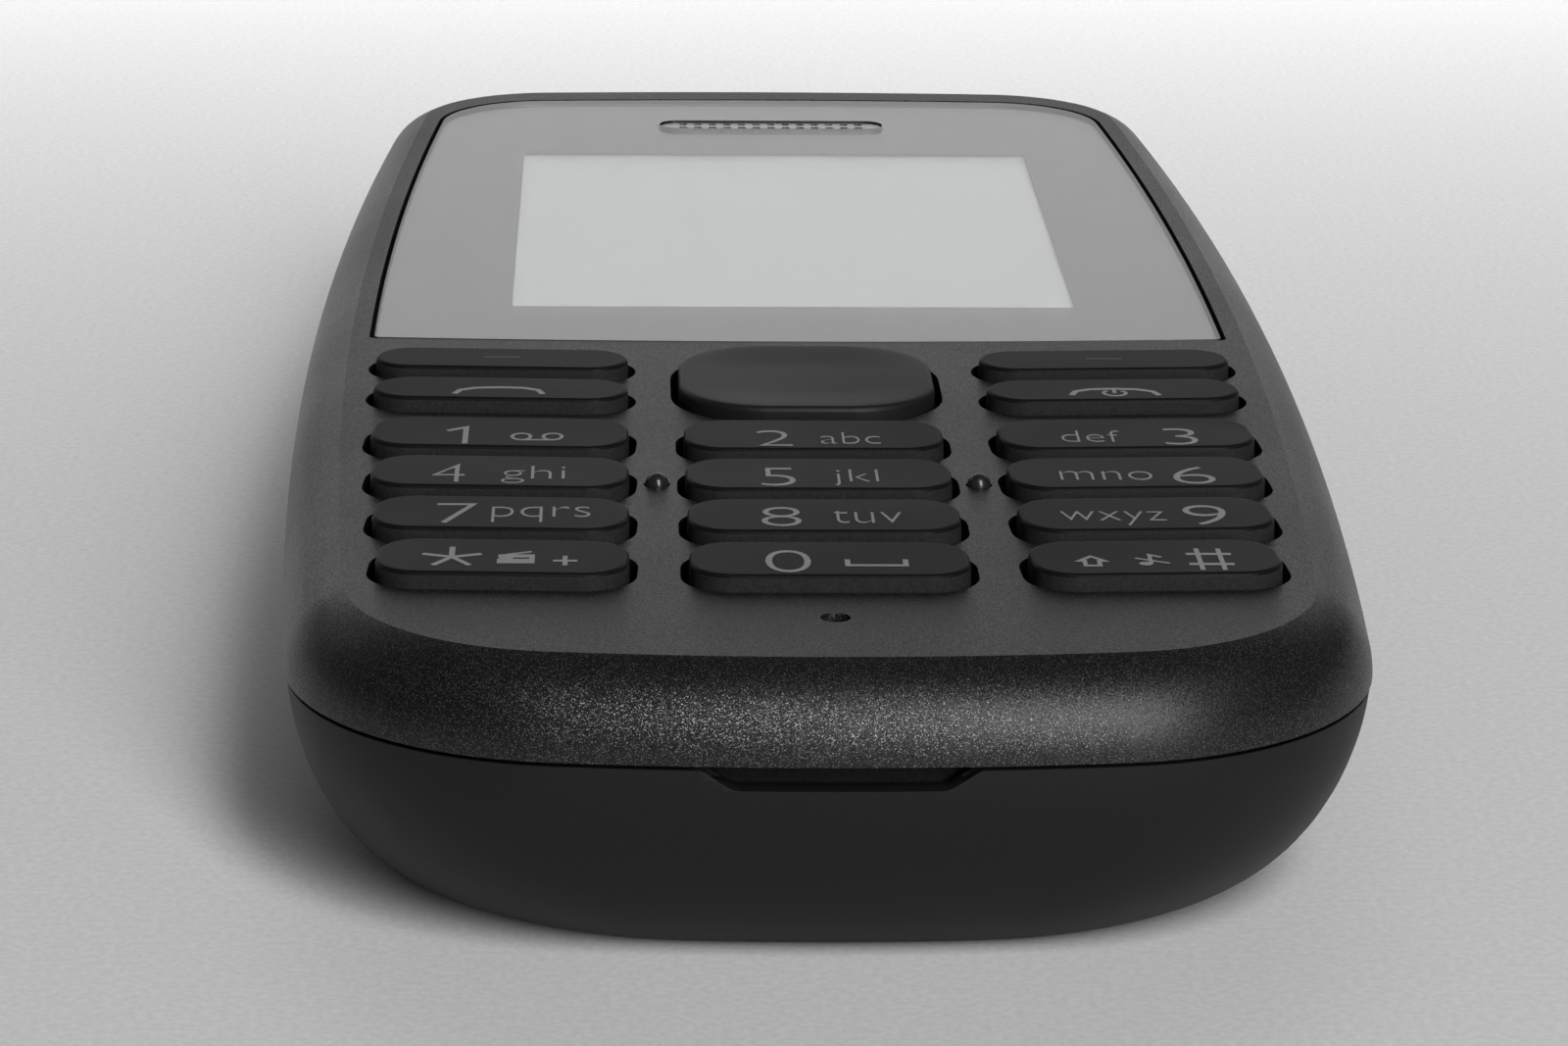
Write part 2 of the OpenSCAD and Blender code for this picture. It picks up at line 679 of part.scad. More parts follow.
module keymat() {
    color("#19191a") {
        difference() {
            slab(mat_z, mat_z + mat_t) intersection() {
                polygon(body_line(chassis_in + rib_t + 0.3));
                translate([-half_w, mat_near]) square([body_w, mat_far - mat_near]);
            }
            at_posts() rod(post_d + 0.5, 0, 0, mat_z - 1, mat_z + 1);
            translate([0, nav_y, 0]) slab(mat_z - 1, mat_z + 1)
                rounded(nav_w + 1, nav_d + 1, nav_corner + 0.5);
        }
        both_sides() {
            rod(pin_d, pin_x, pin_y, mat_z + mat_t / 2, face_z + pin_h - pin_d / 2);
            translate([pin_x, pin_y, face_z + pin_h - pin_d / 2]) sphere(d = pin_d);
        }
    }
}

module soft_key_left() { side_key(-1, soft_y, soft_d); }
module soft_key_right() { side_key(1, soft_y, soft_d); }
module call_key() { side_key(-1, call_y, call_d); }
module end_key() { side_key(1, call_y, call_d); }
module key_1() { side_key(-1, row_y[3], key_d); }
module key_2() { middle_key(3); }
module key_3() { side_key(1, row_y[3], key_d); }
module key_4() { side_key(-1, row_y[2], key_d); }
module key_5() { middle_key(2); }
module key_6() { side_key(1, row_y[2], key_d); }
module key_7() { side_key(-1, row_y[1], key_d); }
module key_8() { middle_key(1); }
module key_9() { side_key(1, row_y[1], key_d); }
module key_star() { side_key(-1, row_y[0], key_d); }
module key_0() { middle_key(0); }
module key_hash() { side_key(1, row_y[0], key_d); }

// Heights of the middle key's three parts, with room for its tilt
nav_slack = 0.1;
nav_pad_d = 3;
nav_pad_z = mat_z + mat_t / 2;
nav_pad_t = 0.25;
nav_reach = 4.2;
nav_flange_z = nav_pad_z + nav_pad_t + nav_slack;

module nav_key() {
    w = nav_w - 2 * key_gap;
    d = nav_d - 2 * key_gap;
    mid = nav_flange_z + flange_t / 2;
    steps = [[mid, 0], [key_top - 0.36, 0], [key_top - 0.12, 0.1], [key_top, 0.42]];
    color("#1c1c1e") translate([0, nav_y, 0]) {
        loft([for (s = steps) let (i = s[1])
            [for (p = round_rect(w - 2 * i, d - 2 * i, nav_corner - key_gap - i, 9)) [each p, s[0]]]]);
        slab(nav_flange_z, nav_flange_z + flange_t)
            rounded(nav_w + 2 * flange_lip, nav_d + 2 * flange_lip, nav_corner + flange_lip);
    }
}

module nav_rocker() {
    color("#2a2a2b") rod(nav_pad_d, 0, nav_y, nav_pad_z, nav_pad_z + nav_pad_t);
}

module nav_plunger() {
    color("#2a2a2b") rod(nav_pad_d - 0.4, 0, nav_y, post_z, nav_pad_z - nav_slack);
}

module dome() {
    rotate_extrude() intersection() {
        translate([0, -8]) circle(8 + dome_h - 0.1);
        square([2, dome_h]);
    }
}

module dome_sheet() {
    color("#b9bcc0") {
        slab(board_top + 0.02, board_top + 0.1) intersection() {
            polygon(body_line(board_in + 0.3));
            translate([-half_w, mat_near]) square([body_w, mat_far - mat_near]);
        }
        translate([0, 0, board_top + 0.06]) {
            at_posts() dome();
            translate([0, nav_y, 0]) dome();
            for (g = [0:90:270]) translate([nav_reach * cos(g), nav_y + nav_reach * sin(g), 0]) dome();
        }
    }
}

module main_board() {
    color("#1d5a34") difference() {
        slab(board_z, board_top) intersection() {
            polygon(body_line(board_in));
            translate([-half_w, near_y]) square([body_w, board_far - near_y]);
        }
        for (p = screw_xy) both_sides() rod(screw_d + 0.3, p[0], p[1], board_z - 1, board_top + 1);
    }
}

// A sheet-metal lid over a block of parts under the board
module shield_can(x, y, w, d) {
    color("#b4b6b8") difference() {
        block(x - w / 2, x + w / 2, y - d / 2, y + d / 2, can_z, can_z + can_h);
        block(x - w / 2 + can_t, x + w / 2 - can_t, y - d / 2 + can_t, y + d / 2 - can_t,
            can_z + can_t, can_z + can_h + 1);
    }
}

module radio_shield() { shield_can(0, battery_near + radio_can_y, radio_can_w, radio_can_l); }
module processor_shield() {
    shield_can(0, battery_near + processor_can_y, processor_can_w, processor_can_l);
}

module sim_reader() {
    color("#c2c4c6") difference() {
        block(-sim_w, 0, sim_y, sim_y + sim_l, plate_z - fit - sim_h, plate_z - fit);
        block(sim_wall - sim_w, 1, sim_y + sim_wall, sim_y + sim_l - sim_wall,
            plate_z - fit - sim_h + 0.3, plate_z - fit - 0.3);
    }
}

module battery_contacts() {
    y = battery_far + battery_gap;
    z = battery_z + contact_z;
    color("#d8b052") at_contacts() {
        bar(contact_w, y - battery_gap + 0.1, y + rib_t + 1, z, z + 0.3);
        bar(contact_w, y + rib_t + 0.7, y + rib_t + 1, z, plate_z - fit);
    }
}

module battery() {
    y = (battery_near + battery_far) / 2;
    color("#d6d6d2") {
        translate([0, y, 0]) slab(battery_z, battery_z + battery_t) rounded(battery_w, battery_l - 4, 0.8);
        translate([0, y, 0]) slab(battery_z + 0.2, battery_z + battery_t - 0.2)
            rounded(battery_w - 0.6, battery_l, 0.5);
    }
}

module usb_socket() {
    color("#c9cbcd") difference() {
        at_usb() bar(usb_w, board_far - 1.4, port_y, usb_z, board_z - fit);
        at_usb() bar(usb_w - 0.7, board_far, port_y + 1, usb_z + 0.35, board_z - fit - 0.35);
    }
    color("#202020") at_usb() bar(usb_w - 2.8, board_far - 0.5, port_y - 0.8,
        usb_z + usb_h / 2, usb_z + usb_h / 2 + 0.6);
}

module headset_jack() {
    color("#1a1a1b") difference() {
        union() {
            at_jack() bar(jack_w, port_y - jack_l, port_y - 1.5, jack_z - jack_h / 2, jack_z + jack_h / 2);
            jack_bar(jack_h, port_y - 2, port_y);
        }
        jack_bar(jack_d, port_y - jack_l + 1, port_y + 1);
    }
}

module microphone() {
    color("#b8babb") difference() {
        rod(mic_d, 0, near_y + mic_y, board_top + fit, board_top + mic_h);
        rod(mic_d / 4, 0, near_y + mic_y, board_top + mic_h - 0.4, board_top + mic_h + 1);
    }
}

module microphone_boot() {
    color("#141414") difference() {
        rod(mic_d, 0, near_y + mic_y, board_top + mic_h + fit, under_z - fit);
        rod(mic_hole_d, 0, near_y + mic_y, board_top, face_z);
    }
}

module vibration_motor() {
    color("#a9abad") {
        rod(motor_d, motor_x, motor_y, plate_z - fit - motor_h, plate_z - fit);
        rod(motor_d / 2, motor_x, motor_y, plate_z - fit - motor_h - 0.2, plate_z - fit - motor_h + 0.1);
    }
}

module loudspeaker() {
    z = plate_z - fit - speaker_h;
    color("#4d4f52") difference() {
        rod(speaker_d, speaker_x, speaker_y, z, plate_z - fit);
        rod(speaker_d - 3, speaker_x, speaker_y, z - 1, z + 0.4);
    }
}

module loudspeaker_gasket() {
    z = plate_z - fit - speaker_h;
    color("#121212") difference() {
        rod(speaker_d, speaker_x, speaker_y, floor_t + 0.2, z - fit);
        rod(speaker_d - 2.4, speaker_x, speaker_y, 0, z + 1);
    }
}

module antenna() {
    x = antenna_w / 2;
    y = near_y + chassis_in + 2;
    first = y + antenna_track;
    second = first + 2 * antenna_slot + antenna_track;
    color("#c8963c") difference() {
        block(-x, x, y, battery_near - bay_wall - 1, plate_z - fit - 0.3, plate_z - fit);
        block(antenna_slot - x, x + 1, first, first + antenna_slot, plate_z - 2, plate_z + 1);
        block(-x - 1, x - antenna_slot, second, second + antenna_slot, plate_z - 2, plate_z + 1);
    }
}

module screws() {
    color("#8f9194") for (p = screw_xy) both_sides() difference() {
        union() {
            rod(screw_head_d, p[0], p[1], plate_z - fit - screw_head_h, plate_z - fit);
            rod(screw_d, p[0], p[1], plate_z - fit - 0.1, screw_z);
        }
        for (g = [0, 90]) translate([p[0], p[1], plate_z - fit - screw_head_h]) rotate([0, 0, g])
            cube([screw_head_d * 0.6, 0.35, 0.5], center = true);
    }
}

rear_cover();
front_cover();
chassis();
display_window();
window_adhesive();
earpiece_grille();
earpiece_receiver();
lcd_module();
lcd_gasket();
lcd_cushion();
lcd_flex();
keymat();
soft_key_left();
soft_key_right();
call_key();
end_key();
nav_key();
nav_rocker();
nav_plunger();
key_1();
key_2();
key_3();
key_4();
key_5();
key_6();
key_7();
key_8();
key_9();
key_star();
key_0();
key_hash();
dome_sheet();
main_board();
radio_shield();
processor_shield();
sim_reader();
battery_contacts();
battery();
usb_socket();
headset_jack();
microphone();
microphone_boot();
vibration_motor();
loudspeaker();
loudspeaker_gasket();
antenna();
screws();
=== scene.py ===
"""Feature phone lying on its back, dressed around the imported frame."""
import math

import bmesh
import bpy
import numpy as np
from mathutils import Matrix, Vector


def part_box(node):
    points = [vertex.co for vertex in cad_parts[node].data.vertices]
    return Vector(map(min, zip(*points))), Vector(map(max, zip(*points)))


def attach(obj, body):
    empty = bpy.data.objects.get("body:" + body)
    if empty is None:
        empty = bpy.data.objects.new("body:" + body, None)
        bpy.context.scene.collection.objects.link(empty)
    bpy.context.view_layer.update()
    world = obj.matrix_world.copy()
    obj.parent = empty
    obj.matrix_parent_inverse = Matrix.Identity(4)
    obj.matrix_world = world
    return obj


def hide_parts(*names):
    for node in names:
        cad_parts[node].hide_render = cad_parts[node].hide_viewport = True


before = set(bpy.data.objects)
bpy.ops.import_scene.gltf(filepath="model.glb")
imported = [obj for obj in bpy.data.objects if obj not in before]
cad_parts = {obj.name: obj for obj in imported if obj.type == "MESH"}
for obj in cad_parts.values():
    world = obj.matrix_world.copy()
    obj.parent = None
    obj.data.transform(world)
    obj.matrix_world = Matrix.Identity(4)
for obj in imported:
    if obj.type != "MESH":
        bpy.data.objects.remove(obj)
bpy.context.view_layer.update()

# Sizes are in millimetres and are turned to metres where a mesh is placed.
MM = 0.001


def box_mm(node):
    low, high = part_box(node)
    return np.array(low) / MM, np.array(high) / MM


def middle_of(node):
    low, high = box_mm(node)
    return (low + high) / 2


# Heights and reach of the two covers, from the frame
front_low, front_high = box_mm("front_cover")
near_y, far_y = front_low[1], front_high[1]
half_w = front_high[0]
face_z = front_high[2]
rear_edge = box_mm("rear_cover")[1][2]
seam_gap = 0.12
front_edge = rear_edge + seam_gap
widest_drop = 3.75
widest_z = face_z - widest_drop
wall, face_t, floor_t = 1.2, 1.45, 1.2

# The rear cover's rim: a lip, and a dark groove behind it
lip_drop, lip_in, lip_ease, rear_in = 0.03, 0.12, 0.03, 0.06
groove_d, groove_in = 0.6, (0.2, 1.08)

# Plan of the covers. The face and the flat back lie in by amounts for the sides, near end and far end
side_bow, near_bow, far_bow = 2.9, 3.1, 1.3
body_corners = (13.3, 10.3)
face_in = (2.6, 2.8, 3.5)
face_corners = (10.0, 7.7)
back_in = (5.6, 6.3, 4.5)
back_corner = 14.0
back_power = 1.67
outline_steps = (14, 18, 22, 16, 12)

# How much of a quarter round the front's side climbs
nose_share = 0.92

# Openings in the front, and how its upper edges are rounded
opening_more = 0.06
recess_more = 0.12
mic_d, mic_in = 1.3, 8.2
pin_hole_d, pin_x, pin_y = 1.24, 7.5, -31.55
opening_round, face_round = 0.09, 0.1

# Openings in the rear
notch_w, notch_deep, notch_run, notch_round = 11.1, 0.95, 1.25, 0.07
jack_d = 5.5
usb_w, usb_h, usb_drop = 8.8, 6.0, 0.3
slot_l, slot_w, slot_step = 8, 1.1, 2.4

# Keys
key_gap = 0.27
key_lip = 0.3
key_edge, nav_edge = 0.22, 0.3
key_draft = 0.06
post_d, post_h, flange_t = 2.4, 1.15, 0.6
cap_top = box_mm("key_5")[1][2] - 0.02
row_arc_r = 330.0
column_w, column_band, key_margin = 13.0, 2.0, 1.15
key_d, call_d, soft_d = 5.8, 4.6, 4.4
call_band, soft_band = 2.75, 1.25
key_corner, nav_corner = 2.25, 4.6
nav_dish = ((1.1, 0.015), (1.7, 0.05), (2.4, 0.10), (3.2, 0.15), (4.1, 0.18))
middle_keys = ("key_0", "key_8", "key_5", "key_2")

# Display window
window_low, window_high = box_mm("display_window")
window_corners = (0.35, 6.6)
lens_z = window_low[2]
lens_gap, lens_edge, print_in = 0.1, 0.05, 0.3
screen_w, screen_h = 29.9, 37.1
screen_mid = middle_of("lcd_module")[1]
ear_mid = middle_of("earpiece_grille")[1]
ear_w, ear_d = 13.6, 2.2

# Camera, as fitted to the photograph: place in millimetres, angles in radians, focal length in pixels
camera_at = (-9.2858, -260.4805, 80.8836)
camera_yaw, camera_pitch, camera_roll = 0.0337, 0.2916, 0.0113
photo_focal, photo_w = 5232.26, 1600
sensor_w = 36.0


def bow_radius(half, bow):
    """Radius of the arc that bulges by the bow over twice the half length."""
    return (half * half + bow * bow) / (2 * bow)


side_r = bow_radius(far_y, side_bow)
near_r, far_r = bow_radius(half_w, near_bow), bow_radius(half_w, far_bow)


def arc(centre, r, a, b, n):
    g = np.linspace(a, b, n, endpoint=False)
    return np.column_stack([centre[0] + r * np.cos(g), centre[1] + r * np.sin(g)])


def corner_centre(c, r, e, q, up):
    """Middle of the round corner that touches two larger arcs from inside."""
    v = e - c
    d = np.linalg.norm(v)
    x = (r * r - q * q + d * d) / (2 * d)
    h = math.sqrt(r * r - x * x)
    u = v / d
    side = np.array([-u[1], u[0]]) * h
    p, m = c + u * x + side, c + u * x - side
    return p if p[0] + up * p[1] > m[0] + up * m[1] else m


def heading(v):
    return math.atan2(v[1], v[0])


def outline(w, y0, y1, rs, r0, r1, c0, c1):
    """Closed outline with bulging sides and ends, from the middle of the microphone end."""
    s, e, f = np.array([w - rs, 0.0]), np.array([0.0, y0 + r0]), np.array([0.0, y1 - r1])
    p = corner_centre(s, rs - c0, e, r0 - c0, -1)
    q = corner_centre(s, rs - c1, f, r1 - c1, 1)
    near_n, corner_n, side_n, far_corner_n, far_n = outline_steps
    half = np.vstack([
        arc(e, r0, -math.pi / 2, heading(p - e), near_n),
        arc(p, c0, heading(p - e), heading(p - s), corner_n),
        arc(s, rs, heading(p - s), heading(q - s), side_n),
        arc(q, c1, heading(q - s), heading(q - f), far_corner_n),
        arc(f, r1, heading(q - f), math.pi / 2, far_n),
        [[0.0, y1]],
    ])
    return np.vstack([half, half[-2:0:-1] * [-1, 1]])


def body_line(i):
    return outline(half_w - i, near_y + i, far_y - i, side_r - i, near_r - i, far_r - i,
                   body_corners[0] - i, body_corners[1] - i)


def face_line(i):
    return outline(half_w - face_in[0] - i, near_y + face_in[1] + i, far_y - face_in[2] - i,
                   side_r - i, near_r - i, far_r - i, face_corners[0] - i, face_corners[1] - i)


def back_line():
    return outline(half_w - back_in[0], near_y + back_in[1], far_y - back_in[2],
                   side_r, near_r, far_r, back_corner, back_corner)


def window_line(i):
    return outline(window_high[0] - i, window_low[1] + i, window_high[1] - i,
                   side_r - i, row_arc_r, far_r - i, window_corners[0], window_corners[1] - i)


def at_height(plan, z):
    return np.column_stack([plan, np.full(len(plan), z)])


def front_close(z):
    """How far the front's side has closed in at a height, from 0 at the widest line to 1 at the face."""
    t = max(0.0, (z - widest_z) / widest_drop) * nose_share
    return (1 - math.sqrt(1 - t * t)) / (1 - math.sqrt(1 - nose_share ** 2))


def front_ring(i, z):
    a, b = body_line(i), face_line(i)
    return at_height(a + (b - a) * front_close(z), z)


def back_ring(i, z0, g):
    """Ring of the back's round side at the angle g, from 0 at the widest line to 90 at the flat back."""
    a, b, p = body_line(i), back_line(), 2 / back_power
    s = 1 - math.cos(math.radians(g)) ** p
    return at_height(a + (b - a) * s, widest_z - (widest_z - z0) * math.sin(math.radians(g)) ** p)


def round_rect(l, d, r, n=10):
    """Outline of a rectangle with round corners, about its middle."""
    points = []
    for q, (sx, sy) in enumerate(((1, 1), (-1, 1), (-1, -1), (1, -1))):
        for i in range(n + 1):
            g = math.pi / 2 * (q + i / n)
            points.append((sx * (l / 2 - r) + r * math.cos(g), sy * (d / 2 - r) + r * math.sin(g)))
    return np.array(points)


def disc(d, n=10):
    return round_rect(d, d, d / 2 - 0.001, n)


def moved(plan, x, y, turn=0.0):
    c, s = math.cos(turn), math.sin(turn)
    return plan @ np.array([[c, s], [-s, c]]) + [x, y]


# Modelling by hand: a ring is added, drawn out ring by ring, closed, cut and finished


def deselect():
    if bpy.context.object and bpy.context.object.mode != "OBJECT":
        bpy.ops.object.mode_set(mode="OBJECT")
    bpy.ops.object.select_all(action="DESELECT")


def work_on(piece, mode="OBJECT"):
    deselect()
    piece.select_set(True)
    bpy.context.view_layer.objects.active = piece
    if mode == "EDIT":
        bpy.ops.object.mode_set(mode="EDIT")


def place_ring(piece, ring):
    shape = bmesh.from_edit_mesh(piece.data)
    place = shape.verts.layers.int["place"]
    for v in shape.verts:
        if v.select:
            v.co = Vector(ring[v[place]]) * MM
    bmesh.update_edit_mesh(piece.data)


def loft(name, rings):
    """A closed body: a circle is drawn out through the rings and capped at both ends."""
    deselect()
    bpy.ops.mesh.primitive_circle_add(vertices=len(rings[0]), radius=0.01, fill_type="NOTHING")
    piece = bpy.context.object
    piece.name = piece.data.name = name
    bpy.ops.object.mode_set(mode="EDIT")
    bpy.ops.mesh.select_mode(type="VERT")
    shape = bmesh.from_edit_mesh(piece.data)
    place = shape.verts.layers.int.new("place")
    for i, v in enumerate(shape.verts):
        v[place] = i
    bpy.ops.mesh.select_all(action="SELECT")
    place_ring(piece, rings[0])
    for ring in rings[1:]:
        bpy.ops.mesh.extrude_region_move()
        place_ring(piece, ring)
    bpy.ops.mesh.edge_face_add()
    bpy.ops.mesh.select_all(action="DESELECT")
    bpy.ops.mesh.select_non_manifold()
    bpy.ops.mesh.edge_face_add()
    bpy.ops.mesh.select_all(action="SELECT")
    bpy.ops.mesh.normals_make_consistent(inside=False)
    bpy.ops.object.mode_set(mode="OBJECT")
    piece.data.attributes.remove(piece.data.attributes["place"])
    return piece


def prism(name, plan, z0, z1):
    return loft(name, [at_height(plan, z0), at_height(plan, z1)])


def join(name, parts):
    work_on(parts[0])
    for part in parts:
        part.select_set(True)
    if len(parts) > 1:
        bpy.ops.object.join()
    parts[0].name = parts[0].data.name = name
    return parts[0]


def cut(piece, cutters):
    cutter = join("cutter", cutters)
    work_on(piece)
    step = piece.modifiers.new("cut", "BOOLEAN")
    step.operation = "DIFFERENCE"
    step.solver = "EXACT"
    step.object = cutter
    bpy.ops.object.modifier_apply(modifier=step.name)
    bpy.data.objects.remove(cutter, do_unlink=True)


def soften(piece, chosen, width, segments):
    """Rounds the edges that the test picks."""
    work_on(piece, "EDIT")
    bpy.ops.mesh.select_mode(type="EDGE")
    bpy.ops.mesh.select_all(action="DESELECT")
    shape = bmesh.from_edit_mesh(piece.data)
    for e in shape.edges:
        if len(e.link_faces) == 2 and chosen(e):
            e.select_set(True)
    bmesh.update_edit_mesh(piece.data)
    bpy.ops.mesh.bevel(offset=width * MM, segments=segments, profile=0.5, clamp_overlap=True)
    bpy.ops.object.mode_set(mode="OBJECT")


def even_shading(piece, angle=40):
    """Smooth shading that keeps large flat faces flat."""
    work_on(piece)
    bpy.ops.object.shade_smooth_by_angle(angle=math.radians(angle))
    step = piece.modifiers.new("flats", "WEIGHTED_NORMAL")
    step.keep_sharp = True
    step.weight = 90
    bpy.ops.object.modifier_apply(modifier=step.name)


def rim_at(z, low=-0.1, high=0.1):
    """Picks the edges at a height between a level face and a face whose slope lies in the range."""
    def chosen(e):
        if any(abs(v.co.z / MM - z) > 0.003 for v in e.verts):
            return False
        up = sorted(abs(f.normal.z) for f in e.link_faces)
        return up[1] > 0.999 and low <= up[0] <= high
    return chosen


def fit_out(piece, body, material, nodes=()):
    """Gives the piece its finish and body, and hides the solids that it stands for."""
    piece.data.materials.clear()
    piece.data.materials.append(material)
    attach(piece, body)
    if nodes:
        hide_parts(*nodes)
    return piece


def finish_sides(piece, material, slope):
    """Gives the faces that are steeper than the slope a finish of their own."""
    piece.data.materials.append(material)
    for side in piece.data.polygons:
        side.material_index = int(abs(side.normal.z) < slope)


# Finishes


def add_node(tree, kind, settings=None, **values):
    n = tree.nodes.new(kind)
    for key, value in (settings or {}).items():
        setattr(n, key, value)
    for key, value in values.items():
        n.inputs[key.replace("_", " ")].default_value = value
    return n


def make_group(name, inputs, outputs):
    tree = bpy.data.node_groups.new(name, "ShaderNodeTree")
    for label, value in inputs:
        socket = tree.interface.new_socket(name=label, in_out="INPUT", socket_type="NodeSocketFloat")
        socket.default_value = value
    for label in outputs:
        kind = "NodeSocketVector" if label == "Normal" else "NodeSocketFloat"
        tree.interface.new_socket(name=label, in_out="OUTPUT", socket_type=kind)
    return tree, tree.nodes.new("NodeGroupInput"), tree.nodes.new("NodeGroupOutput")


def math_node(tree, operation, a, b=None, clamp=False):
    n = tree.nodes.new("ShaderNodeMath")
    n.operation = operation
    n.use_clamp = clamp
    for i, value in enumerate((a, b)):
        if value is None:
            continue
        if isinstance(value, (int, float)):
            n.inputs[i].default_value = value
        else:
            tree.links.new(value, n.inputs[i])
    return n.outputs[0]


def grain_group():
    """Fine moulded grain in two sizes. Scale is in grains per metre."""
    tree, gi, go = make_group("moulded_grain", [("Scale", 7000.0), ("Coarse", 0.35)], ["Height", "Tone"])
    where = tree.nodes.new("ShaderNodeTexCoord")
    fine = add_node(tree, "ShaderNodeTexNoise", Detail=2.0, Roughness=0.6)
    broad = add_node(tree, "ShaderNodeTexNoise", Detail=1.0, Roughness=0.5)
    for n, share in ((fine, 1.0), (broad, 0.3)):
        tree.links.new(where.outputs["Object"], n.inputs["Vector"])
        tree.links.new(math_node(tree, "MULTIPLY", gi.outputs["Scale"], share), n.inputs["Scale"])
    part = math_node(tree, "MULTIPLY", broad.outputs["Fac"], gi.outputs["Coarse"])
    both = math_node(tree, "ADD", fine.outputs["Fac"], part)
    tree.links.new(both, go.inputs["Height"])
    over = math_node(tree, "SUBTRACT", fine.outputs["Fac"], 0.36)
    tree.links.new(math_node(tree, "MULTIPLY", over, 3.4, clamp=True), go.inputs["Tone"])
    return tree


def flake_group():
    """Small flakes held in the paint, each with its own tone and tilt."""
    tree, gi, go = make_group("flakes", [("Scale", 14000.0), ("Share", 0.12), ("Tilt", 0.5)],
                              ["Flake", "Normal"])
    where = tree.nodes.new("ShaderNodeTexCoord")
    cells = add_node(tree, "ShaderNodeTexVoronoi", {"feature": "F1"}, Randomness=1.0)
    tree.links.new(where.outputs["Object"], cells.inputs["Vector"])
    tree.links.new(gi.outputs["Scale"], cells.inputs["Scale"])
    pick = tree.nodes.new("ShaderNodeSeparateColor")
    tree.links.new(cells.outputs["Color"], pick.inputs[0])
    over = math_node(tree, "SUBTRACT", pick.outputs[0], math_node(tree, "SUBTRACT", 1.0, gi.outputs["Share"]))
    tree.links.new(math_node(tree, "DIVIDE", over, gi.outputs["Share"], clamp=True), go.inputs["Flake"])
    middle = add_node(tree, "ShaderNodeVectorMath", {"operation": "SUBTRACT"})
    tree.links.new(cells.outputs["Color"], middle.inputs[0])
    middle.inputs[1].default_value = (0.5, 0.5, 0.5)
    lean = add_node(tree, "ShaderNodeVectorMath", {"operation": "SCALE"})
    tree.links.new(middle.outputs[0], lean.inputs[0])
    tree.links.new(gi.outputs["Tilt"], lean.inputs["Scale"])
    surface = tree.nodes.new("ShaderNodeNewGeometry")
    leaned = add_node(tree, "ShaderNodeVectorMath", {"operation": "ADD"})
    tree.links.new(surface.outputs["Normal"], leaned.inputs[0])
    tree.links.new(lean.outputs[0], leaned.inputs[1])
    unit = add_node(tree, "ShaderNodeVectorMath", {"operation": "NORMALIZE"})
    tree.links.new(leaned.outputs[0], unit.inputs[0])
    tree.links.new(unit.outputs[0], go.inputs["Normal"])
    return tree


def handling_group():
    """Soft uneven gloss left by handling."""
    tree, gi, go = make_group("handling", [("Scale", 60.0)], ["Smudge"])
    where = tree.nodes.new("ShaderNodeTexCoord")
    cloud = add_node(tree, "ShaderNodeTexNoise", Detail=4.0, Roughness=0.55, Distortion=0.6)
    tree.links.new(where.outputs["Object"], cloud.inputs["Vector"])
    tree.links.new(gi.outputs["Scale"], cloud.inputs["Scale"])
    over = math_node(tree, "SUBTRACT", cloud.outputs["Fac"], 0.3)
    tree.links.new(math_node(tree, "MULTIPLY", over, 2.4, clamp=True), go.inputs["Smudge"])
    return tree


def dust_group():
    """A few small specks of dust."""
    tree, gi, go = make_group("dust", [("Scale", 260.0), ("Share", 0.05)], ["Speck"])
    where = tree.nodes.new("ShaderNodeTexCoord")
    cells = add_node(tree, "ShaderNodeTexVoronoi", {"feature": "F1"}, Randomness=1.0)
    tree.links.new(where.outputs["Object"], cells.inputs["Vector"])
    tree.links.new(gi.outputs["Scale"], cells.inputs["Scale"])
    pick = tree.nodes.new("ShaderNodeSeparateColor")
    tree.links.new(cells.outputs["Color"], pick.inputs[0])
    chosen = math_node(tree, "LESS_THAN", pick.outputs[1], gi.outputs["Share"])
    size = math_node(tree, "MULTIPLY", pick.outputs[2], 0.05)
    dot = math_node(tree, "LESS_THAN", cells.outputs["Distance"], size)
    tree.links.new(math_node(tree, "MULTIPLY", chosen, dot), go.inputs["Speck"])
    return tree


groups = {"grain": grain_group(), "flake": flake_group(), "handling": handling_group(), "dust": dust_group()}


def use_group(tree, name, **values):
    n = tree.nodes.new("ShaderNodeGroup")
    n.node_tree = groups[name]
    for key, value in values.items():
        n.inputs[key].default_value = value
    return n


def new_finish(name):
    material = bpy.data.materials.new(name)
    material.use_nodes = True
    tree = material.node_tree
    return material, tree, tree.nodes["Principled BSDF"]


def blend_colour(tree, factor, a, b):
    n = tree.nodes.new("ShaderNodeMix")
    n.data_type = "RGBA"
    for socket, value in ((n.inputs[0], factor), (n.inputs[6], a), (n.inputs[7], b)):
        if isinstance(value, (tuple, list)):
            socket.default_value = (*value, 1.0)
        elif isinstance(value, float):
            socket.default_value = value
        else:
            tree.links.new(value, socket)
    return n.outputs[2]


def blend_value(tree, factor, a, b):
    n = tree.nodes.new("ShaderNodeMix")
    n.data_type = "FLOAT"
    for socket, value in ((n.inputs[0], factor), (n.inputs[2], a), (n.inputs[3], b)):
        if isinstance(value, float):
            socket.default_value = value
        else:
            tree.links.new(value, socket)
    return n.outputs[0]


def bump(tree, shader, height, strength, depth, normal=None):
    n = add_node(tree, "ShaderNodeBump", Strength=strength, Distance=depth * MM)
    tree.links.new(height, n.inputs["Height"])
    if normal:
        tree.links.new(normal, n.inputs["Normal"])
    tree.links.new(n.outputs["Normal"], shader.inputs["Normal"])


def grey(v):
    return (v, v, v)


dust_tone = grey(0.35)


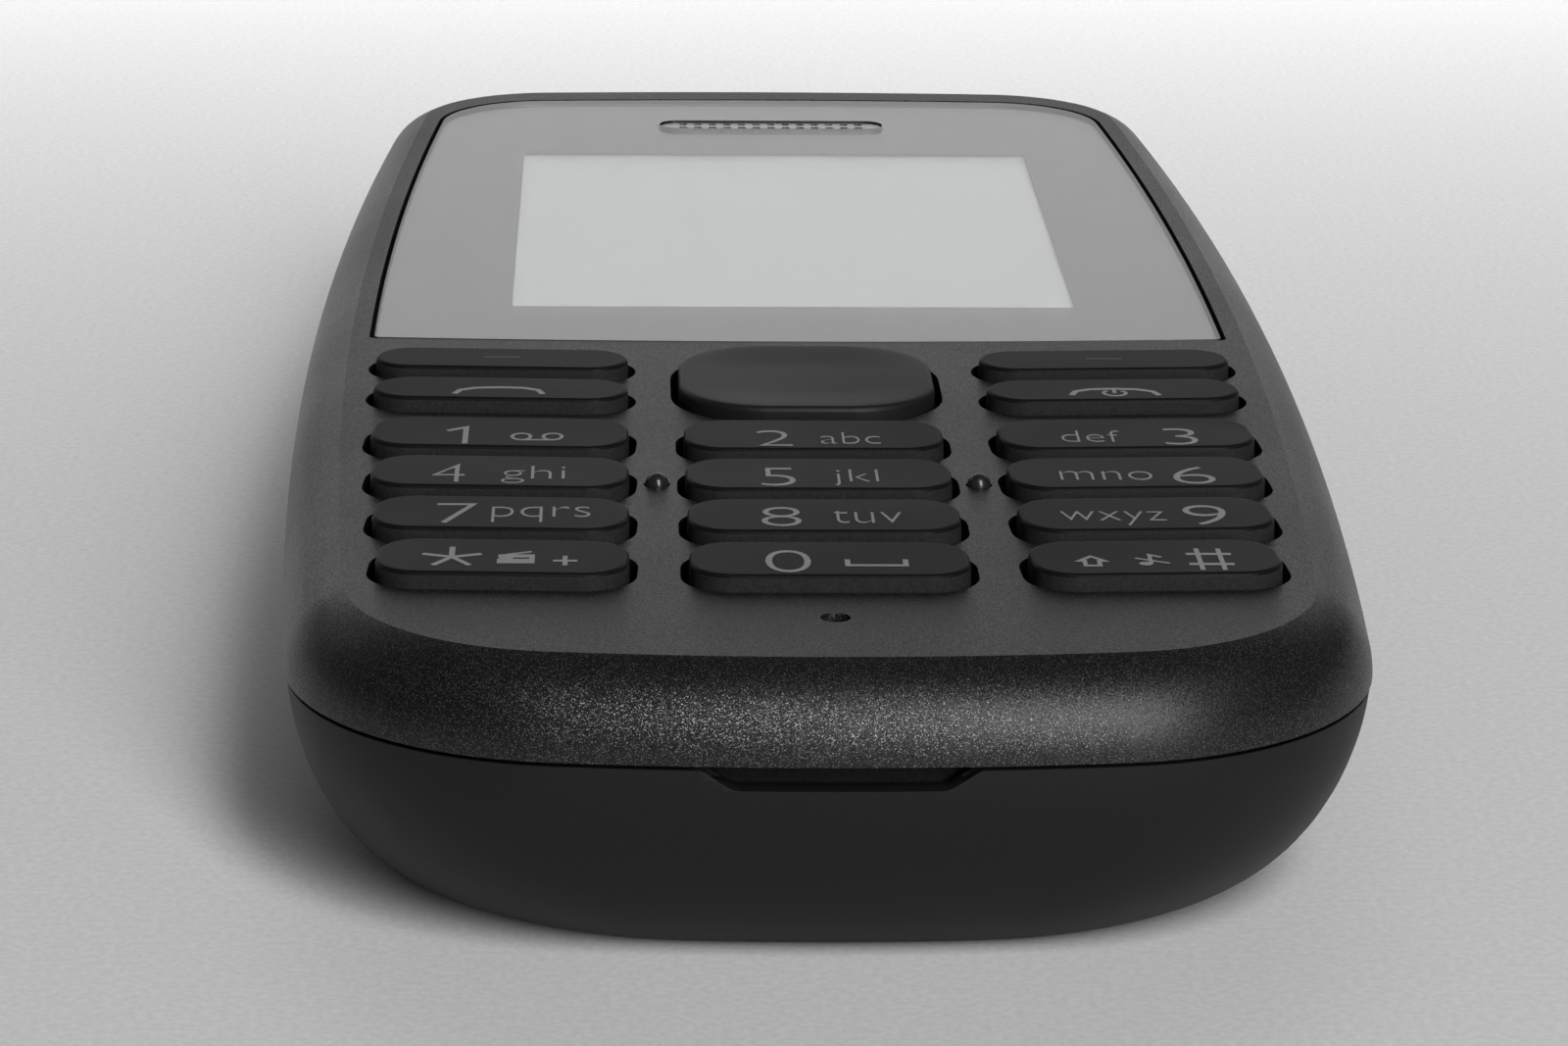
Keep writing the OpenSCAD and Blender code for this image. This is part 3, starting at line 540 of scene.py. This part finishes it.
def plastic(name, dark, light, rough, grain, depth, dust=0.0, specular=0.5):
    """Moulded plastic: two tones in its grain, handling on its gloss, and dust where it has any."""
    material, tree, shader = new_finish(name)
    shader.inputs["Specular IOR Level"].default_value = specular
    texture = use_group(tree, "grain", Scale=grain)
    touch = use_group(tree, "handling")
    tone = blend_colour(tree, texture.outputs["Tone"], dark, light)
    if dust:
        speck = use_group(tree, "dust", Share=dust)
        tone = blend_colour(tree, speck.outputs["Speck"], tone, dust_tone)
    tree.links.new(tone, shader.inputs["Base Color"])
    tree.links.new(blend_value(tree, touch.outputs["Smudge"], rough[0], rough[1]), shader.inputs["Roughness"])
    bump(tree, shader, texture.outputs["Height"], 0.6, depth)
    return material


def flake_paint(name, dark, light, rough, scale, share, tilt, dust):
    """Dark paint with fine metal flakes that sparkle where the light meets them."""
    material, tree, shader = new_finish(name)
    shader.inputs["Specular IOR Level"].default_value = 0.3
    sparkle = use_group(tree, "flake", Scale=scale, Share=share, Tilt=tilt)
    texture = use_group(tree, "grain", Scale=14000.0)
    touch = use_group(tree, "handling")
    speck = use_group(tree, "dust", Share=dust)
    tone = blend_colour(tree, sparkle.outputs["Flake"], dark, light)
    tone = blend_colour(tree, speck.outputs["Speck"], tone, dust_tone)
    tree.links.new(tone, shader.inputs["Base Color"])
    tree.links.new(math_node(tree, "MULTIPLY", sparkle.outputs["Flake"], 0.95), shader.inputs["Metallic"])
    tree.links.new(blend_value(tree, touch.outputs["Smudge"], rough[0], rough[1]), shader.inputs["Roughness"])
    bump(tree, shader, texture.outputs["Height"], 0.3, 0.004, sparkle.outputs["Normal"])
    return material


def metal(name, colour, rough, grain=3000.0, depth=0.002):
    material, tree, shader = new_finish(name)
    shader.inputs["Metallic"].default_value = 1.0
    texture = use_group(tree, "grain", Scale=grain)
    touch = use_group(tree, "handling", Scale=90.0)
    shade = tuple(0.7 * c for c in colour)
    tree.links.new(blend_colour(tree, touch.outputs["Smudge"], shade, colour), shader.inputs["Base Color"])
    tree.links.new(blend_value(tree, texture.outputs["Tone"], rough[0], rough[1]), shader.inputs["Roughness"])
    bump(tree, shader, texture.outputs["Height"], 0.4, depth)
    return material


def glass_finish():
    material, tree, shader = new_finish("window_glass")
    shader.inputs["Base Color"].default_value = (0.97, 0.98, 0.98, 1.0)
    shader.inputs["Transmission Weight"].default_value = 1.0
    shader.inputs["IOR"].default_value = 1.52
    touch = use_group(tree, "handling", Scale=45.0)
    tree.links.new(blend_value(tree, touch.outputs["Smudge"], 0.015, 0.05), shader.inputs["Roughness"])
    path = tree.nodes.new("ShaderNodeLightPath")
    clear = tree.nodes.new("ShaderNodeBsdfTransparent")
    mix = tree.nodes.new("ShaderNodeMixShader")
    tree.links.new(path.outputs["Is Shadow Ray"], mix.inputs[0])
    tree.links.new(shader.outputs[0], mix.inputs[1])
    tree.links.new(clear.outputs[0], mix.inputs[2])
    tree.links.new(mix.outputs[0], tree.nodes["Material Output"].inputs["Surface"])
    return material


def board_finish():
    """Green circuit board with lighter tracks."""
    material, tree, shader = new_finish("circuit_board")
    where = tree.nodes.new("ShaderNodeTexCoord")
    tracks = add_node(tree, "ShaderNodeTexBrick", {"offset": 0.37, "squash": 1.4},
                      Scale=420.0, Mortar_Size=0.06)
    tracks.inputs["Color1"].default_value = (0.012, 0.09, 0.035, 1)
    tracks.inputs["Color2"].default_value = (0.010, 0.075, 0.03, 1)
    tracks.inputs["Mortar"].default_value = (0.03, 0.16, 0.06, 1)
    tree.links.new(where.outputs["Object"], tracks.inputs["Vector"])
    tree.links.new(tracks.outputs["Color"], shader.inputs["Base Color"])
    touch = use_group(tree, "handling", Scale=120.0)
    tree.links.new(blend_value(tree, touch.outputs["Smudge"], 0.25, 0.45), shader.inputs["Roughness"])
    bump(tree, shader, tracks.outputs["Fac"], 0.4, 0.02)
    return material


front_plastic = flake_paint("charcoal_flake_paint", grey(0.005), grey(0.14), (0.35, 0.41),
                            scale=28000.0, share=0.18, tilt=0.27, dust=0.03)
rear_plastic = plastic("black_matt_plastic", grey(0.004), grey(0.007), (0.50, 0.58), 12000.0, 0.004,
                       dust=0.05, specular=0.25)
key_plastic = plastic("black_key_plastic", grey(0.005), grey(0.008), (0.40, 0.48), 10000.0, 0.004,
                      dust=0.04, specular=0.06)
# Key walls: the matt grain is real, but the tone lighter than the tops is painted light on the walls
key_side_painted_light = plastic("matte_key_wall_painted_light", grey(0.015), grey(0.023), (0.6, 0.7), 7000.0, 0.008, specular=0.12)
nav_plastic = plastic("smooth_key_plastic", grey(0.008), grey(0.012), (0.43, 0.51), 10000.0, 0.003,
                      dust=0.04, specular=0.2)
legend_paint = plastic("legend_paint", grey(0.20), grey(0.26), (0.45, 0.6), 14000.0, 0.002)
faint_paint = plastic("faint_legend_paint", grey(0.03), grey(0.045), (0.5, 0.65), 14000.0, 0.002)
# Black print behind the window; on the window's side walls and bevel the same black is painted shade at its
# edge, which also hides their reflections
print_and_painted_shade_black = plastic("window_print_and_edge_shade_black", grey(0.006), grey(0.010), (0.35, 0.5), 6000.0, 0.002)
lcd_face = plastic("display_face", grey(0.31), grey(0.35), (0.18, 0.26), 4000.0, 0.001)
pin_rubber = plastic("mat_rubber", grey(0.012), grey(0.018), (0.22, 0.32), 6000.0, 0.003)
inner_plastic = plastic("inner_plastic", grey(0.010), grey(0.016), (0.5, 0.65), 5000.0, 0.008, specular=0.12)
foam = plastic("black_foam", grey(0.015), grey(0.04), (0.8, 0.95), 5000.0, 0.05)
flex_film = plastic("amber_film", (0.33, 0.12, 0.02), (0.42, 0.17, 0.03), (0.25, 0.4), 3000.0, 0.003)
battery_case = plastic("battery_wrap", grey(0.50), grey(0.56), (0.35, 0.5), 3000.0, 0.004)
part_metal = metal("bright_sheet", (0.62, 0.62, 0.60), (0.25, 0.4))
dark_sheet = metal("dark_sheet", grey(0.04), (0.5, 0.65))
grille_metal = metal("grille_metal", grey(0.62), (0.25, 0.36))
dome_steel = metal("dome_steel", (0.66, 0.66, 0.64), (0.18, 0.3))
contact_gold = metal("contact_gold", (0.80, 0.55, 0.22), (0.2, 0.32))
screw_steel = metal("screw_steel", (0.36, 0.36, 0.37), (0.28, 0.42))
window_glass = glass_finish()
circuit_board = board_finish()


# Covers


def make_front():
    """Front cover: bull-nosed edge, flat face, key openings and the recess for the window."""
    under_z = face_z - face_t
    edge_in, edge_up = 0.06, 0.05
    rings = [front_ring(wall, z) for z in np.linspace(under_z, front_edge, 6)]
    rings += [front_ring(edge_in, front_edge)]
    rings += [front_ring(0.0, z) for z in np.linspace(front_edge + edge_up, face_z, 20)]
    piece = loft("front_shell", rings)

    def through(plan, top=face_z + 1):
        return prism("opening", plan, under_z - 1, top)

    openings = [through(plan) for plan in key_plans(opening_more).values()]
    recess = prism("opening", window_line(-recess_more), lens_z - 0.1, face_z + 1)
    mic = through(moved(disc(mic_d, 8), 0, near_y + mic_in))
    pins = [through(moved(disc(pin_hole_d, 8), x, pin_y)) for x in (-pin_x, pin_x)]
    cut(piece, openings + [recess, mic] + pins)
    display = through(moved(round_rect(screen_w + 1, screen_h + 1, 1.0), 0, screen_mid), lens_z)
    ear = through(moved(round_rect(ear_w + 0.4, ear_d + 0.8, 1.0), 0, ear_mid), lens_z)
    cut(piece, [display, ear])
    soften(piece, rim_at(face_z), opening_round, 3)
    soften(piece, rim_at(face_z, 0.2, 0.995), face_round, 3)
    even_shading(piece)
    return fit_out(piece, "handset", front_plastic, ["front_cover"])


def end_cutter(name, plan):
    """A cutter through the far end. The plan gives its width and height as seen from that end."""
    return loft(name, [np.column_stack([plan[:, 0], np.full(len(plan), y), plan[:, 1]])
                       for y in (far_y - 5, far_y + 3)])


def back_angle(z, floor_z):
    """Angle of back_ring at which the round side reaches a height."""
    return math.degrees(math.asin(((widest_z - z) / (widest_z - floor_z)) ** (back_power / 2)))


def make_rear():
    """Rear cover: dished back with the finger notch, the loudspeaker's slots and two connector openings."""
    rings = [back_ring(wall, floor_t, g) for g in np.linspace(90, back_angle(rear_edge, floor_t), 12)]
    rim = ((1.1, 0.0), (groove_in[1], groove_d), (groove_in[0], groove_d), (lip_in, lip_drop))
    rings += [at_height(body_line(i), rear_edge - drop) for i, drop in rim]
    outer = [back_ring(rear_in, 0.0, g) for g in np.linspace(back_angle(rear_edge - lip_drop, 0.0), 90, 26)]
    outer[0][:, 2] -= lip_ease
    piece = loft("rear_shell", rings + outer)
    half, deep = notch_w / 2, notch_deep
    foot = -half + notch_run
    profile = [(-half - 1.5, 1.0), (-half - 0.5, 0.05), (-half - 0.12, -0.14),
               (foot - 0.42, -deep + 0.16), (foot - 0.16, -deep + 0.03), (foot + 0.15, -deep)]
    profile += [(-x, z) for x, z in reversed(profile)]
    notch = loft("notch", [np.array([(x, y, rear_edge + z) for x, z in profile])
                           for y in (near_y - 3, near_y + 5)])
    jack_x, _, jack_z = middle_of("headset_jack")
    jack = end_cutter("jack", moved(disc(jack_d), jack_x, jack_z))
    usb_x = middle_of("usb_socket")[0]
    usb_z = box_mm("usb_socket")[0][2] - usb_drop + usb_h / 2
    usb = end_cutter("usb", moved(round_rect(usb_w, usb_h, 0.5, 6), usb_x, usb_z))
    slot_x, slot_y, _ = middle_of("loudspeaker")
    slot = round_rect(slot_l, slot_w, 0.5, 6)
    slots = [prism("slot", moved(slot, slot_x, slot_y + slot_step * i), -1, 2) for i in (-1, 0, 1)]
    cut(piece, [notch, jack, usb] + slots)

    def notch_rim(e):
        for x, y, z in (v.co / MM for v in e.verts):
            if abs(x) > half + 0.3 or y > near_y + 3 or not -deep - 0.05 <= z - rear_edge <= -0.05:
                return False
        a, b = e.link_faces
        outward = min(a.normal.y, b.normal.y)
        return outward < -0.6 and a.normal.dot(b.normal) < 0.6

    soften(piece, notch_rim, notch_round, 2)
    even_shading(piece)
    return fit_out(piece, "rear", rear_plastic, ["rear_cover"])


# Keys


def face_half(y):
    return half_w - face_in[0] - side_r + math.sqrt(side_r ** 2 - y * y)


column_in = column_w / 2 + column_band
row_y = [middle_of(n)[1] for n in middle_keys]
nav_low, nav_high = box_mm("nav_key")
nav_y = middle_of("nav_key")[1]
nav_w, nav_d = 13.3, nav_high[1] - nav_low[1] - 2 * key_lip


def side_place(side, y):
    """Middle, length and turn of an outer key in the row at y."""
    reach = face_half(y) - key_margin
    x = (column_in + reach) / 2
    return side * x, y + x * x / (2 * row_arc_r), reach - column_in, side * math.atan(x / row_arc_r)


call_y = row_y[3] + key_d / 2 + call_band + call_d / 2
soft_y = call_y + call_d / 2 + soft_band + soft_d / 2
side_pairs = (("soft_key_left", "soft_key_right", soft_y, soft_d), ("call_key", "end_key", call_y, call_d),
              ("key_1", "key_3", row_y[3], key_d), ("key_4", "key_6", row_y[2], key_d),
              ("key_7", "key_9", row_y[1], key_d), ("key_star", "key_hash", row_y[0], key_d))
key_places = {}
for left, right, y, d in side_pairs:
    for name, side in ((left, -1), (right, 1)):
        x, at, l, turn = side_place(side, y)
        key_places[name] = (x, at, turn, l, d, min(key_corner, d / 2 - 0.05))
for name, y in zip(middle_keys, row_y):
    key_places[name] = (0.0, y, 0.0, column_w, key_d, key_corner)
key_places["nav_key"] = (0.0, nav_y, 0.0, nav_w, nav_d, nav_corner)


def key_plans(more):
    """Outlines of the key openings, drawn wider by more on every side."""
    return {name: moved(round_rect(l + 2 * more, d + 2 * more, r + more), x, y, turn)
            for name, (x, y, turn, l, d, r) in key_places.items()}


def model_key(name):
    """A key: post, flange behind the face, cap with a rounded upper edge, and a dish on the middle key."""
    x, y, turn, l, d, r = key_places[name]
    is_nav = name == "nav_key"
    post_z = box_mm(name)[0][2]
    flange_z = post_z if is_nav else box_mm("key_5")[0][2] + post_h

    def ring(inset, z):
        return at_height(moved(round_rect(l - 2 * inset, d - 2 * inset, max(r - inset, 0.2)), x, y, turn), z)

    rings = [] if is_nav else [at_height(moved(disc(post_d), x, y, turn), z) for z in (post_z, flange_z)]
    flange_top = flange_z + flange_t
    rings += [ring(-key_lip, flange_z), ring(-key_lip, flange_top), ring(key_gap, flange_top)]
    edge = nav_edge if is_nav else key_edge
    side = key_gap + key_draft
    for g in np.radians(np.linspace(0, 90, 8)):
        rings.append(ring(side + edge * (1 - math.cos(g)), cap_top - edge + edge * math.sin(g)))
    if is_nav:
        rings += [ring(inset, cap_top - drop) for inset, drop in nav_dish]
    return loft("cap_" + name, rings)


def copy_key(piece, name, shift=0.0, mirrored=False):
    """A copy with its own mesh, moved along the phone or mirrored to its other side."""
    work_on(piece)
    bpy.ops.object.duplicate(linked=False)
    other = bpy.context.object
    other.name = other.data.name = "cap_" + name
    bpy.ops.transform.translate(value=(0, shift * MM, 0))
    if mirrored:
        other.scale.x = -1
    bpy.ops.object.transform_apply(location=True, rotation=True, scale=True)
    work_on(other, "EDIT")
    bpy.ops.mesh.select_all(action="SELECT")
    bpy.ops.mesh.normals_make_consistent(inside=False)
    bpy.ops.object.mode_set(mode="OBJECT")
    return other


def make_keys():
    """The keys. All but the middle one have a matt finish of their own on their sides. It is lighter than
    their tops: painted light on the walls.
    """
    caps = {"nav_key": model_key("nav_key"), "key_5": model_key("key_5")}
    for name in ("key_0", "key_8", "key_2"):
        caps[name] = copy_key(caps["key_5"], name, key_places[name][1] - key_places["key_5"][1])
    for left, right, *_ in side_pairs:
        caps[left] = model_key(left)
        caps[right] = copy_key(caps[left], right, mirrored=True)
    for name, piece in caps.items():
        even_shading(piece, 50)
        fit_out(piece, name, nav_plastic if name == "nav_key" else key_plastic, [name])
        # Faces steeper than the slope get the lighter wall finish, which paints light on them
        if name != "nav_key":
            finish_sides(piece, key_side_painted_light, 0.3)


# Signs on the keys


def legend_from(name, key, parts):
    """One key's signs, joined and fixed to that key."""
    piece = join(name, parts)
    work_on(piece, "EDIT")
    bpy.ops.mesh.select_all(action="SELECT")
    bpy.ops.mesh.remove_doubles(threshold=1e-7)
    bpy.ops.mesh.normals_make_consistent(inside=False)
    bpy.ops.object.mode_set(mode="OBJECT")
    return fit_out(piece, key, faint_paint if "soft" in key else legend_paint)


sign_low, sign_high = cap_top - 0.01, cap_top + 0.012


def letters(text, x0, x1, y0, y1):
    """Printed characters that fill the given box on the key."""
    deselect()
    bpy.ops.object.text_add()
    sign = bpy.context.object
    sign.data.body = text
    sign.data.offset = -0.02
    sign.data.resolution_u = 5
    sign.data.extrude = 0.05
    bpy.ops.object.convert(target="MESH")
    sign = bpy.context.object
    points = np.array([v.co for v in sign.data.vertices])
    low, high = points.min(0), points.max(0)
    corner, opposite = np.array([x0, y0, sign_low]), np.array([x1, y1, sign_high])
    scale = (opposite - corner) / (high - low)
    for v in sign.data.vertices:
        v.co = Vector((np.array(v.co) - (low + high) / 2) * scale + (corner + opposite) / 2) * MM
    return sign


def stroke(points, w, closed=False, lift=0.0):
    """A printed line of even width through the points. Lines that cross differ in lift."""
    p = np.array(points, float)
    n = len(p)
    ahead = np.roll(p, -1, 0) - p
    if not closed:
        ahead[-1] = ahead[-2]
    ahead /= np.linalg.norm(ahead, axis=1)[:, None]
    back = np.roll(ahead, 1, 0)
    if not closed:
        back[0] = ahead[0]
    mean = ahead + back
    mean /= np.linalg.norm(mean, axis=1)[:, None]
    side = np.column_stack([-mean[:, 1], mean[:, 0]])
    reach = w / 2 / np.maximum(0.4, (mean * ahead).sum(1))
    a, b = p + side * reach[:, None], p - side * reach[:, None]
    if not closed:
        return prism("sign", np.vstack([a, b[::-1]]), sign_low, sign_high + lift)
    pieces = []
    for i in range(n):
        j = (i + 1) % n
        pieces.append(prism("sign", np.array([a[i], a[j], b[j], b[i]]), sign_low, sign_high))
    return join("sign", pieces)


def ellipse(x, y, rx, ry, a=0, b=360, n=24):
    g = np.radians(np.linspace(a, b, n))
    return np.column_stack([x + rx * np.cos(g), y + ry * np.sin(g)])


def make_legends():
    """The signs, in millimetres on the face: digits, letters and small pictures of what a key does."""
    signs = {
        "key_1": [stroke([(-17.45, -24.85), (-16.55, -24.25), (-16.55, -27.05)], 0.26)],
        "key_2": [letters("2", -2.75, -1.05, -27.45, -24.7), letters("abc", 0.3, 3.15, -26.95, -25.0)],
        "key_3": [letters("def", 11.8, 14.65, -26.55, -24.6), letters("3", 16.7, 18.3, -26.98, -24.2)],
        "key_4": [letters("4", -17.9, -16.4, -33.5, -30.6), letters("ghi", -14.7, -11.75, -33.7, -30.9)],
        "key_5": [letters("5", -2.7, -1.1, -34.05, -31.15), letters("jkl", 0.7, 2.75, -34.0, -31.4)],
        "key_6": [letters("mno", 11.2, 15.5, -33.0, -31.6), letters("6", 16.45, 18.4, -33.6, -30.85)],
        "key_7": [letters("7", -17.5, -15.65, -40.1, -37.05), letters("pqrs", -15.0, -10.55, -39.95, -37.55)],
        "key_8": [letters("8", -2.85, -1.05, -40.5, -37.55), letters("tuv", 0.35, 3.5, -40.0, -38.1)],
        "key_9": [letters("wxyz", 10.7, 15.45, -40.3, -38.15), letters("9", 16.3, 18.25, -40.2, -37.15)],
        "key_0": [letters("0", -2.85, -0.85, -47.45, -44.25),
                  stroke([(0.75, -45.6), (0.75, -46.45), (3.3, -46.45), (3.3, -45.6)], 0.24)],
        "key_hash": [stroke([(x, -47.05), (x, -43.9)], 0.22) for x in (16.27, 17.24)],
    }
    tapes = [stroke(ellipse(x, -25.85, 0.44, 0.56)[:-1], 0.17, closed=True)
             for x in (-13.9, -12.42)]
    signs["key_1"] += tapes + [stroke([(-13.9, -26.41), (-12.42, -26.41)], 0.17, lift=0.003)]
    star_x, star_y = -16.59, -45.3
    star = [stroke([(star_x, star_y), (star_x + 1.35 * math.cos(g), star_y + 1.5 * math.sin(g))], 0.26,
                   lift=0.0015 * i)
            for i, g in enumerate(np.radians((90, 18, 162, 234, 306)))]
    radio = [stroke([(-14.6, -45.9), (-12.95, -45.9)], 0.62),
             stroke([(-14.5, -45.5), (-13.9, -45.5)], 0.3, lift=0.002),
             stroke([(-13.2, -45.5), (-12.95, -45.5)], 0.3, lift=0.002),
             stroke([(-14.55, -45.15), (-12.95, -45.15)], 0.42, lift=0.004),
             stroke([(-14.2, -44.95), (-13.1, -44.5)], 0.14, lift=0.006)]
    plus = [stroke([(-12.15, -45.83), (-11.08, -45.83)], 0.22),
            stroke([(-11.62, -46.5), (-11.62, -45.15)], 0.22, lift=0.003)]
    signs["key_star"] = star + radio + plus
    house = [(10.95, -45.75), (11.5, -45.1), (12.05, -45.75), (11.82, -45.75), (11.82, -46.45),
             (11.18, -46.45), (11.18, -45.75)]
    note = [prism("sign", ellipse(13.85, -46.15, 0.3, 0.24)[:-1], sign_low, sign_high),
            stroke([(14.1, -46.15), (14.1, -44.85), (14.6, -45.2)], 0.18, lift=0.003),
            stroke([(13.45, -45.35), (14.9, -46.1)], 0.14, lift=0.005)]
    signs["key_hash"] += [stroke([(15.75, y), (17.75, y)], 0.26, lift=0.004) for y in (-46.2, -44.7)]
    signs["key_hash"] += [stroke(house, 0.2, closed=True)] + note
    hook = [(-17.3, -18.15), (-17.05, -17.45), (-16.3, -17.05), (-15.15, -16.95), (-14.0, -17.05),
            (-13.25, -17.45), (-13.0, -18.15)]
    signs["call_key"] = [stroke(hook, 0.3)]
    signs["end_key"] = [stroke([(x + 30.25, y) for x, y in hook], 0.3),
                        stroke(ellipse(15.1, -17.75, 0.55, 0.5, 130, 410, 16), 0.18),
                        stroke([(15.1, -17.75), (15.1, -17.15)], 0.18, lift=0.003)]
    for name in ("soft_key_left", "soft_key_right"):
        x, y, *_ = key_places[name]
        signs[name] = [stroke([(x - 0.9, y), (x + 0.9, y)], 0.26)]
    for key, parts in signs.items():
        legend_from("legend_" + key, key, parts)


# Display


def make_window():
    """Clear window with softened edges blackened as painted shade, flush in the face, and the black print
    behind it.
    """
    top = face_z - 0.01
    rings = [at_height(window_line(lens_gap), lens_z)]
    for g in np.radians((0, 30, 60, 90)):
        line = window_line(lens_gap + lens_edge * (1 - math.cos(g)))
        rings.append(at_height(line, top - lens_edge * (1 - math.sin(g))))
    lens = loft("window_lens", rings)
    slot = moved(round_rect(ear_w, ear_d, ear_d / 2 - 0.02), 0, ear_mid)
    cut(lens, [prism("slot", slot, lens_z - 1, face_z + 1)])
    even_shading(lens)
    fit_out(lens, "handset", window_glass, ["display_window"])
    # The window's side walls and bevel get the black: painted shade at the window's edge
    finish_sides(lens, print_and_painted_shade_black, 0.98)
    print_z = box_mm("window_adhesive")[0][2]
    backing = prism("window_print", window_line(print_in), print_z, lens_z - 0.005)
    clear = moved(round_rect(screen_w, screen_h, 0.35), 0, screen_mid)
    slot = moved(round_rect(ear_w + 0.3, ear_d + 0.3, 1.1), 0, ear_mid)
    cut(backing, [prism("slot", plan, print_z - 1, face_z) for plan in (clear, slot)])
    fit_out(backing, "handset", print_and_painted_shade_black, ["window_adhesive"])


# Inner pieces keep their solids and get their finish

node_finish = (
    (inner_plastic, ("chassis", "headset_jack", "loudspeaker")),
    (pin_rubber, ("keymat", "microphone_boot", "nav_rocker", "nav_plunger")),
    (foam, ("lcd_gasket", "lcd_cushion", "loudspeaker_gasket")),
    (grille_metal, ("earpiece_grille",)),
    (lcd_face, ("lcd_module",)),
    (flex_film, ("lcd_flex",)),
    (circuit_board, ("main_board",)),
    (dome_steel, ("dome_sheet",)),
    (part_metal, ("radio_shield", "processor_shield", "sim_reader", "usb_socket", "earpiece_receiver",
                  "vibration_motor")),
    (dark_sheet, ("microphone",)),
    (contact_gold, ("battery_contacts", "antenna")),
    (battery_case, ("battery",)),
    (screw_steel, ("screws",)),
)


def dress_inner_pieces():
    for material, nodes in node_finish:
        for name in nodes:
            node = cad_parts[name]
            node.data.materials.clear()
            node.data.materials.append(material)


# Floor, light and camera


def make_floor():
    deselect()
    bpy.ops.mesh.primitive_plane_add(size=4.0)
    floor = bpy.context.object
    floor.name = "floor"
    material, tree, shader = new_finish("pale_paper")
    texture = use_group(tree, "grain", Scale=2600.0)
    tone = blend_colour(tree, texture.outputs["Tone"], grey(0.70), grey(0.78))
    tree.links.new(tone, shader.inputs["Base Color"])
    shader.inputs["Roughness"].default_value = 0.55
    bump(tree, shader, texture.outputs["Height"], 0.2, 0.02)
    floor.data.materials.append(material)


def soft_light(name, place, aim, size, power, spread=180, mirrored=True):
    """A large even light. A light that isn't mirrored doesn't show in glossy surfaces."""
    light = bpy.data.lights.new(name, "AREA")
    light.spread = math.radians(spread)
    light.shape = "RECTANGLE"
    light.size, light.size_y = size
    light.energy = power
    lamp = bpy.data.objects.new(name, light)
    bpy.context.scene.collection.objects.link(lamp)
    lamp.location = place
    lamp.rotation_euler = (Vector(aim) - Vector(place)).to_track_quat("-Z", "Y").to_euler()
    lamp.visible_camera = False
    lamp.visible_glossy = mirrored


def make_light():
    world = bpy.data.worlds.new("room")
    bpy.context.scene.world = world
    world.use_nodes = True
    background = world.node_tree.nodes["Background"]
    background.inputs["Color"].default_value = (1, 1, 1, 1)
    background.inputs["Strength"].default_value = 0.03
    foot, face = (0, 0, 0), (0, 0, 0.014)
    soft_light("tall_softbox", (0.228, -0.643, 0.418), foot, (0.17, 0.70), 6.8)
    soft_light("room_wall", (-0.2, 1.45, 0.78), foot, (3.4, 0.67), 3.6)
    soft_light("floor_wash", (0, 0.42, 0.50), (0, 0.40, 0), (0.9, 0.3), 3.0, spread=75, mirrored=False)
    soft_light("back_softbox", (0, 0.90, 0.19), face, (0.8, 0.18), 0.275)
    soft_light("back_low", (0, 0.90, 0.07), face, (0.7, 0.13), 0.125)
    bpy.context.scene.view_settings.view_transform = "Standard"


def make_camera():
    """Camera at the photograph's place and angle."""
    yaw, pitch, roll = camera_yaw, camera_pitch, camera_roll
    ahead = Vector((math.sin(yaw) * math.cos(pitch), math.cos(yaw) * math.cos(pitch), -math.sin(pitch)))
    level_right = Vector((math.cos(yaw), -math.sin(yaw), 0))
    level_up = level_right.cross(ahead)
    right = math.cos(roll) * level_right + math.sin(roll) * level_up
    up = -math.sin(roll) * level_right + math.cos(roll) * level_up
    data = bpy.data.cameras.new("camera")
    data.sensor_fit = "HORIZONTAL"
    data.sensor_width = sensor_w
    data.lens = sensor_w * photo_focal / photo_w
    data.clip_start = 0.01
    camera = bpy.data.objects.new("camera", data)
    bpy.context.scene.collection.objects.link(camera)
    turn = Matrix((right, up, -ahead)).transposed().to_4x4()
    camera.matrix_world = Matrix.Translation(Vector(camera_at) * MM) @ turn
    bpy.context.scene.camera = camera


make_camera()
make_floor()
make_light()
make_front()
make_rear()
make_keys()
make_legends()
make_window()
dress_inner_pieces()

deselect()
